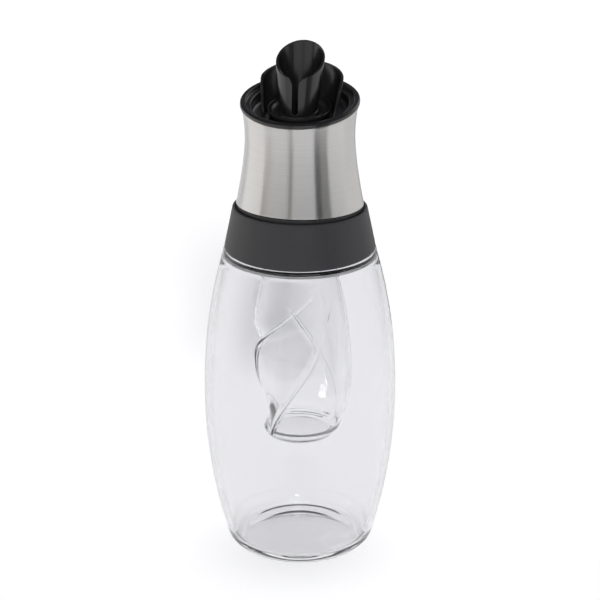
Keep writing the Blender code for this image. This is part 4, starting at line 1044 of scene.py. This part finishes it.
# %% Tube of the spout
TUBE_WALL, TUBE_EDGE_ROUND = 1.1, 0.28
STEM_Z, STEM_RADIUS = 186.3, 7.9
TUBE_FOOT_Z, TUBE_FOOT_RADIUS = CUP_FLOOR_Z + 3.8, 8.2
TUBE_TOP_Z, TUBE_TOP_RADIUS, TUBE_TOP_Y = CUP_FLOOR_Z + 23.2, 10.4, 0.9
MOUTH_SLOPE, LAPEL = 0.54, 3.2
SLIT_HALF, SLIT_DROP, SLIT_END = 1.3, 1.2, 0.8


def tube_frame(up):
    """Radius, Y shift, height on the axis and slope of the tube at a share of its length."""
    foot_share = (TUBE_FOOT_Z - STEM_Z) / (TUBE_TOP_Z - STEM_Z)
    if up < foot_share:
        share = up / foot_share
        return (mix(STEM_RADIUS, TUBE_FOOT_RADIUS, share), STEM_Y,
                mix(STEM_Z, TUBE_FOOT_Z, share), RIM_SLOPE * ease(share * 2 - 1))
    share = (up - foot_share) / (1 - foot_share)
    return (mix(TUBE_FOOT_RADIUS, TUBE_TOP_RADIUS, share), mix(STEM_Y, TUBE_TOP_Y, share),
            mix(TUBE_FOOT_Z, TUBE_TOP_Z, share), mix(RIM_SLOPE, MOUTH_SLOPE, share))


def tube_place(around, up):
    radius, shift, height, slope = tube_frame(up)
    front_z = height + slope * (shift - radius)
    mouth_z = TUBE_TOP_Z + MOUTH_SLOPE * (TUBE_TOP_Y - TUBE_TOP_RADIUS)
    half = 0.0
    if front_z > TUBE_FOOT_Z - SLIT_DROP:
        half = SLIT_HALF * min(1.0, math.sqrt((front_z - TUBE_FOOT_Z + SLIT_DROP) / SLIT_END))
    if front_z > mouth_z - LAPEL:
        drop = min((front_z - mouth_z + LAPEL) / LAPEL, 1.0)
        half += LAPEL * (1 - math.sqrt(max(1 - drop * drop, 0.0)))
    gap = math.degrees(math.asin(min(half / radius, 1)))
    return round_place(radius, mix(-90 + gap, 270 - gap, around), shift, height, slope)


spout = sheet("slit_spout", tube_place, columns=96, rows=72)
face_outwards(spout)
thicken(spout, TUBE_WALL)
soften_edges(spout, TUBE_EDGE_ROUND)
report(spout)

# %% [markdown]
# ### Dish of the spout
#
# A dish round the tube's foot catches drips. It could be part of the sheet, but it is round, so it
# is turned, moved forward and slanted. A Boolean joins the two, which are really one moulding.

# %% Dish of the spout
DISH_Z, DISH_RADIUS, DISH_ROUND = CUP_FLOOR_Z + 0.3, 13.6, 0.35
DISH_BORE, DISH_Y, DISH_INNER, DISH_SPREAD = 7.5, -1.5, 8.4, 4


def dish_section():
    high = TUBE_FOOT_Z
    section = [(DISH_BORE, DISH_Z), (8.3, DISH_Z), (9.5, DISH_Z + 0.5), (13.2, high - 1.9)]
    section += bend(DISH_RADIUS - DISH_ROUND, high - DISH_ROUND, DISH_ROUND, 0, 180, 6)
    section += [(12.5, high - 1.2), (11.6, high - 1.9)]
    section += arc(10.2, high - 0.2, 1.7, 1.9, -80, -175, 7)
    section += [(DISH_BORE, high)]
    return section


dish = turn_section("dish", dish_section(), steps=96)


def dish_place(place):
    """Moves the bore forward with the tube, and the rim half as far, and slants the dish."""
    radius = math.hypot(place.x, place.y) / MM
    place.y += mix(STEM_Y, DISH_Y, ease((radius - DISH_INNER) / DISH_SPREAD)) * MM
    return rim_slant(place)


move_points(dish, dish_place)
apply_modifier(spout, "BOOLEAN", operation="UNION", object=dish)
bpy.data.objects.remove(dish)
shade(spout)
spout.data.materials.clear()
spout.data.materials.append(gloss_black)
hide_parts("vinegar_spout")
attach(spout, "head")
report(spout)

# %% [markdown]
# ## Finishes for the hidden pieces
#
# The plug, plates, seals and screws come straight from the measured model, because they are plain
# shapes that show only when the stopper is pulled. They still get the finish of the real thing.

# %% Finishes for the measured pieces
MEASURED_FINISHES = {
    satin_black: ("head_core", "stopper_plug", "port_plate"),
    seal_silicone: ("bottle_seal", "vessel_seal", "collar_pad", "port_gasket", "duct_gasket",
                    "spout_seal"),
    plain_steel: ("pivot_screw", "pivot_washer", "pivot_nut", "plate_screw_1", "plate_screw_2",
                  "plate_screw_3"),
    valve_white: ("valve_disc",),
}
for material, nodes in MEASURED_FINISHES.items():
    for node in nodes:
        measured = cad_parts[node]
        if not measured.material_slots:
            measured.data.materials.append(material)
        measured.material_slots[0].material = material
print("finished", sum(len(nodes) for nodes in MEASURED_FINISHES.values()), "measured pieces")

# %% [markdown]
# ## Studio
#
# The photograph is a white studio shot on white paper, with a large soft light in front and to the
# right. Area lamps could stand in for it, but they light the paper unevenly and show as patches in
# the glass. Suns light the whole floor alike, and a sun's width sets how soft its shadow is. One
# area lamp stays at the back, where the glossy black mirrors it.

# %% Lamps
AIM = Vector((0, 0, 0.1))
SUN_DISTANCE = 1.5


def add_lamp(name, kind, place, size, power, reflected=False):
    """A lamp that points at the bottle. A sun's size is an angle in degrees."""
    bpy.ops.object.light_add(type=kind, location=AIM + place)
    lamp = bpy.context.object
    lamp.name = name
    lamp.data.energy = power
    if kind == "SUN":
        lamp.data.angle = math.radians(size)
    else:
        lamp.data.size = size
    lamp.rotation_euler = (-place).to_track_quat("-Z", "Y").to_euler()
    lamp.visible_glossy = reflected


add_lamp("key_light", "SUN", towards(16.5, 30, SUN_DISTANCE), 9, 2.5)
add_lamp("top_light", "SUN", towards(180, 84, SUN_DISTANCE), 16, 0.8)
add_lamp("fill_light", "SUN", towards(-75, 45, SUN_DISTANCE), 60, 0.15)
add_lamp("back_window", "AREA", towards(150, 35, 1.4), 0.8, 2.0, reflected=True)
print("placed 4 lamps")

# %% [markdown]
# ### Cards
#
# Polished steel shows only what stands round it. A photographer puts light and dark cards there,
# out of the picture. Here they stand close by, and each one is seen by one kind of ray alone. Nine
# that only reflections see give the steel its stripes, and two grey walls that only the glass sees
# draw its edges.

# %% Cards
WALL_LOW_Z, WALL_HIGH_Z = -0.02, 0.12


def grey_wall(net):
    """As light as the paper at the floor, and darker further up."""
    height = net.node("ShaderNodeSeparateXYZ", {}, {"Vector": net.position()}, output=2)
    share = net.node("ShaderNodeMapRange", {"interpolation_type": "SMOOTHSTEP"},
                     {"Value": height, "From Min": WALL_LOW_Z, "From Max": WALL_HIGH_Z})
    return net.blend(share, (0.8, 0.8, 0.82, 1), (0.42, 0.42, 0.44, 1))


def card(name, azimuth, distance, width, height, colour, seen_by="glossy", low=0.0):
    """An upright card that only one kind of ray sees. It stands on the floor, or hangs above it."""
    deselect_all()
    middle = towards(azimuth, 0, distance)
    bpy.ops.mesh.primitive_plane_add(size=1, location=(0, 0, 0))
    piece = bpy.context.object
    piece.name = name
    turn = math.radians(azimuth)
    across = Vector((math.cos(turn), math.sin(turn), 0))
    for vertex in piece.data.vertices:
        share_up = vertex.co.y + 0.5
        vertex.co = middle + across * width * vertex.co.x + Vector((0, 0, low + height * share_up))
    for ray in ("camera", "shadow", "diffuse", "transmission", "glossy"):
        setattr(piece, "visible_" + ray, ray == seen_by)
    glow = colour if callable(colour) else (*colour, 1)
    piece.data.materials.append(principled(name, Base_Color=(0, 0, 0, 1), Roughness=1.0,
                                           Emission_Color=glow, Emission_Strength=1.0))


# each card's azimuth in degrees, its distance, width and height in metres, and its colour
card("thin_card", -5.8, 0.29, 0.028, 0.3, (0.27, 0.26, 0.25))
card("soft_card", -7, 0.3, 0.075, 0.3, (0.62, 0.61, 0.6))
card("warm_card", -50, 0.3, 0.035, 0.3, (0.66, 0.61, 0.54))
card("left_card", -88, 0.31, 0.3, 0.3, (1.04, 1.03, 1.01))
card("right_card", 140, 0.31, 0.28, 0.3, (0.7, 0.7, 0.7))
card("dark_card", 46, 0.3, 0.06, 0.3, (0.02, 0.02, 0.02))
card("fading_card", 60, 0.3, 0.09, 0.3, (0.22, 0.22, 0.22))
card("far_card", 168, 0.3, 0.03, 0.3, (0.05, 0.05, 0.05))
card("dim_left_card", -95, 0.5, 0.9, 0.6, (0.04, 0.04, 0.04), low=0.22)
card("left_wall", -78, 0.24, 1.0, 0.6, grey_wall, "transmission")
card("right_wall", 102, 0.24, 1.0, 0.6, grey_wall, "transmission")
print("placed 11 cards")

# %% [markdown]
# ### Room
#
# Darkness matters as much as light here. A picture of a studio could surround the scene, but a
# grey that darkens upwards is enough, and keeps the glossy black dark inside. Only the camera sees
# it as white.

# %% Room
WHITE = (1, 1, 1, 1)
LEVEL_COLOUR, OVERHEAD_COLOUR = (0.78, 0.78, 0.79, 1), (0.09, 0.09, 0.10, 1)
LEVEL_IN_GLASS, OVERHEAD_IN_GLASS = (0.38, 0.38, 0.40, 1), (0.3, 0.3, 0.31, 1)
DARKENS_FROM, DARK_FROM = 0.06, 0.5


def ray_is(net, kind):
    path = net.tree.nodes.new("ShaderNodeLightPath")
    return Socket(net, path.outputs["Is " + kind + " Ray"])


def light_the_room(world):
    net = Net(world)
    direction = net.node("ShaderNodeTexCoord", output="Generated")
    height = net.node("ShaderNodeSeparateXYZ", {}, {"Vector": direction}, output=2)
    overhead = net.node("ShaderNodeMapRange", {"interpolation_type": "SMOOTHSTEP"},
                        {"Value": height, "From Min": DARKENS_FROM, "From Max": DARK_FROM})
    colour = net.blend(overhead, LEVEL_COLOUR, OVERHEAD_COLOUR)
    in_glass = net.blend(overhead, LEVEL_IN_GLASS, OVERHEAD_IN_GLASS)
    colour = net.blend(ray_is(net, "Transmission"), colour, in_glass)
    colour = net.blend(ray_is(net, "Camera"), colour, WHITE)
    net.finish(net.node("ShaderNodeBackground", {}, {"Color": colour, "Strength": 1.0}),
               "ShaderNodeOutputWorld")


scene = bpy.context.scene
scene.view_settings.view_transform = "Standard"
if scene.world is None:
    scene.world = bpy.data.worlds.new("studio")
light_the_room(scene.world)
print("the room lights the scene")

# %% [markdown]
# ### Floor
#
# Paper that only the lamps light comes out grey. More light would whiten it, but it would bleach
# the object as well. So the paper glows a little where the camera or the glass looks at it. It is
# white there, and keeps its soft shadow.

# %% Floor
PAPER_COLOUR, PAPER_SIZE = (0.62, 0.62, 0.632, 1), 6
GLOW_SEEN, GLOW_IN_GLASS = 0.46, 0.295


def floor_paper():
    material = bpy.data.materials.new("floor_paper")
    net = Net(material)
    paper = net.node("ShaderNodeBsdfDiffuse", {}, {"Color": PAPER_COLOUR})
    bent = ray_is(net, "Transmission").at_least(ray_is(net, "Glossy"))
    strength = ray_is(net, "Camera") * GLOW_SEEN + bent * GLOW_IN_GLASS
    glow = net.node("ShaderNodeEmission", {}, {"Color": WHITE, "Strength": strength})
    net.finish(net.node("ShaderNodeAddShader", {}, {0: paper, 1: glow}))
    return material


deselect_all()
bpy.ops.mesh.primitive_plane_add(size=PAPER_SIZE, location=(0, 0, 0))
floor = bpy.context.object
floor.name = "paper_floor"
floor.data.materials.append(floor_paper())
print("the paper floor is", PAPER_SIZE, "m wide")
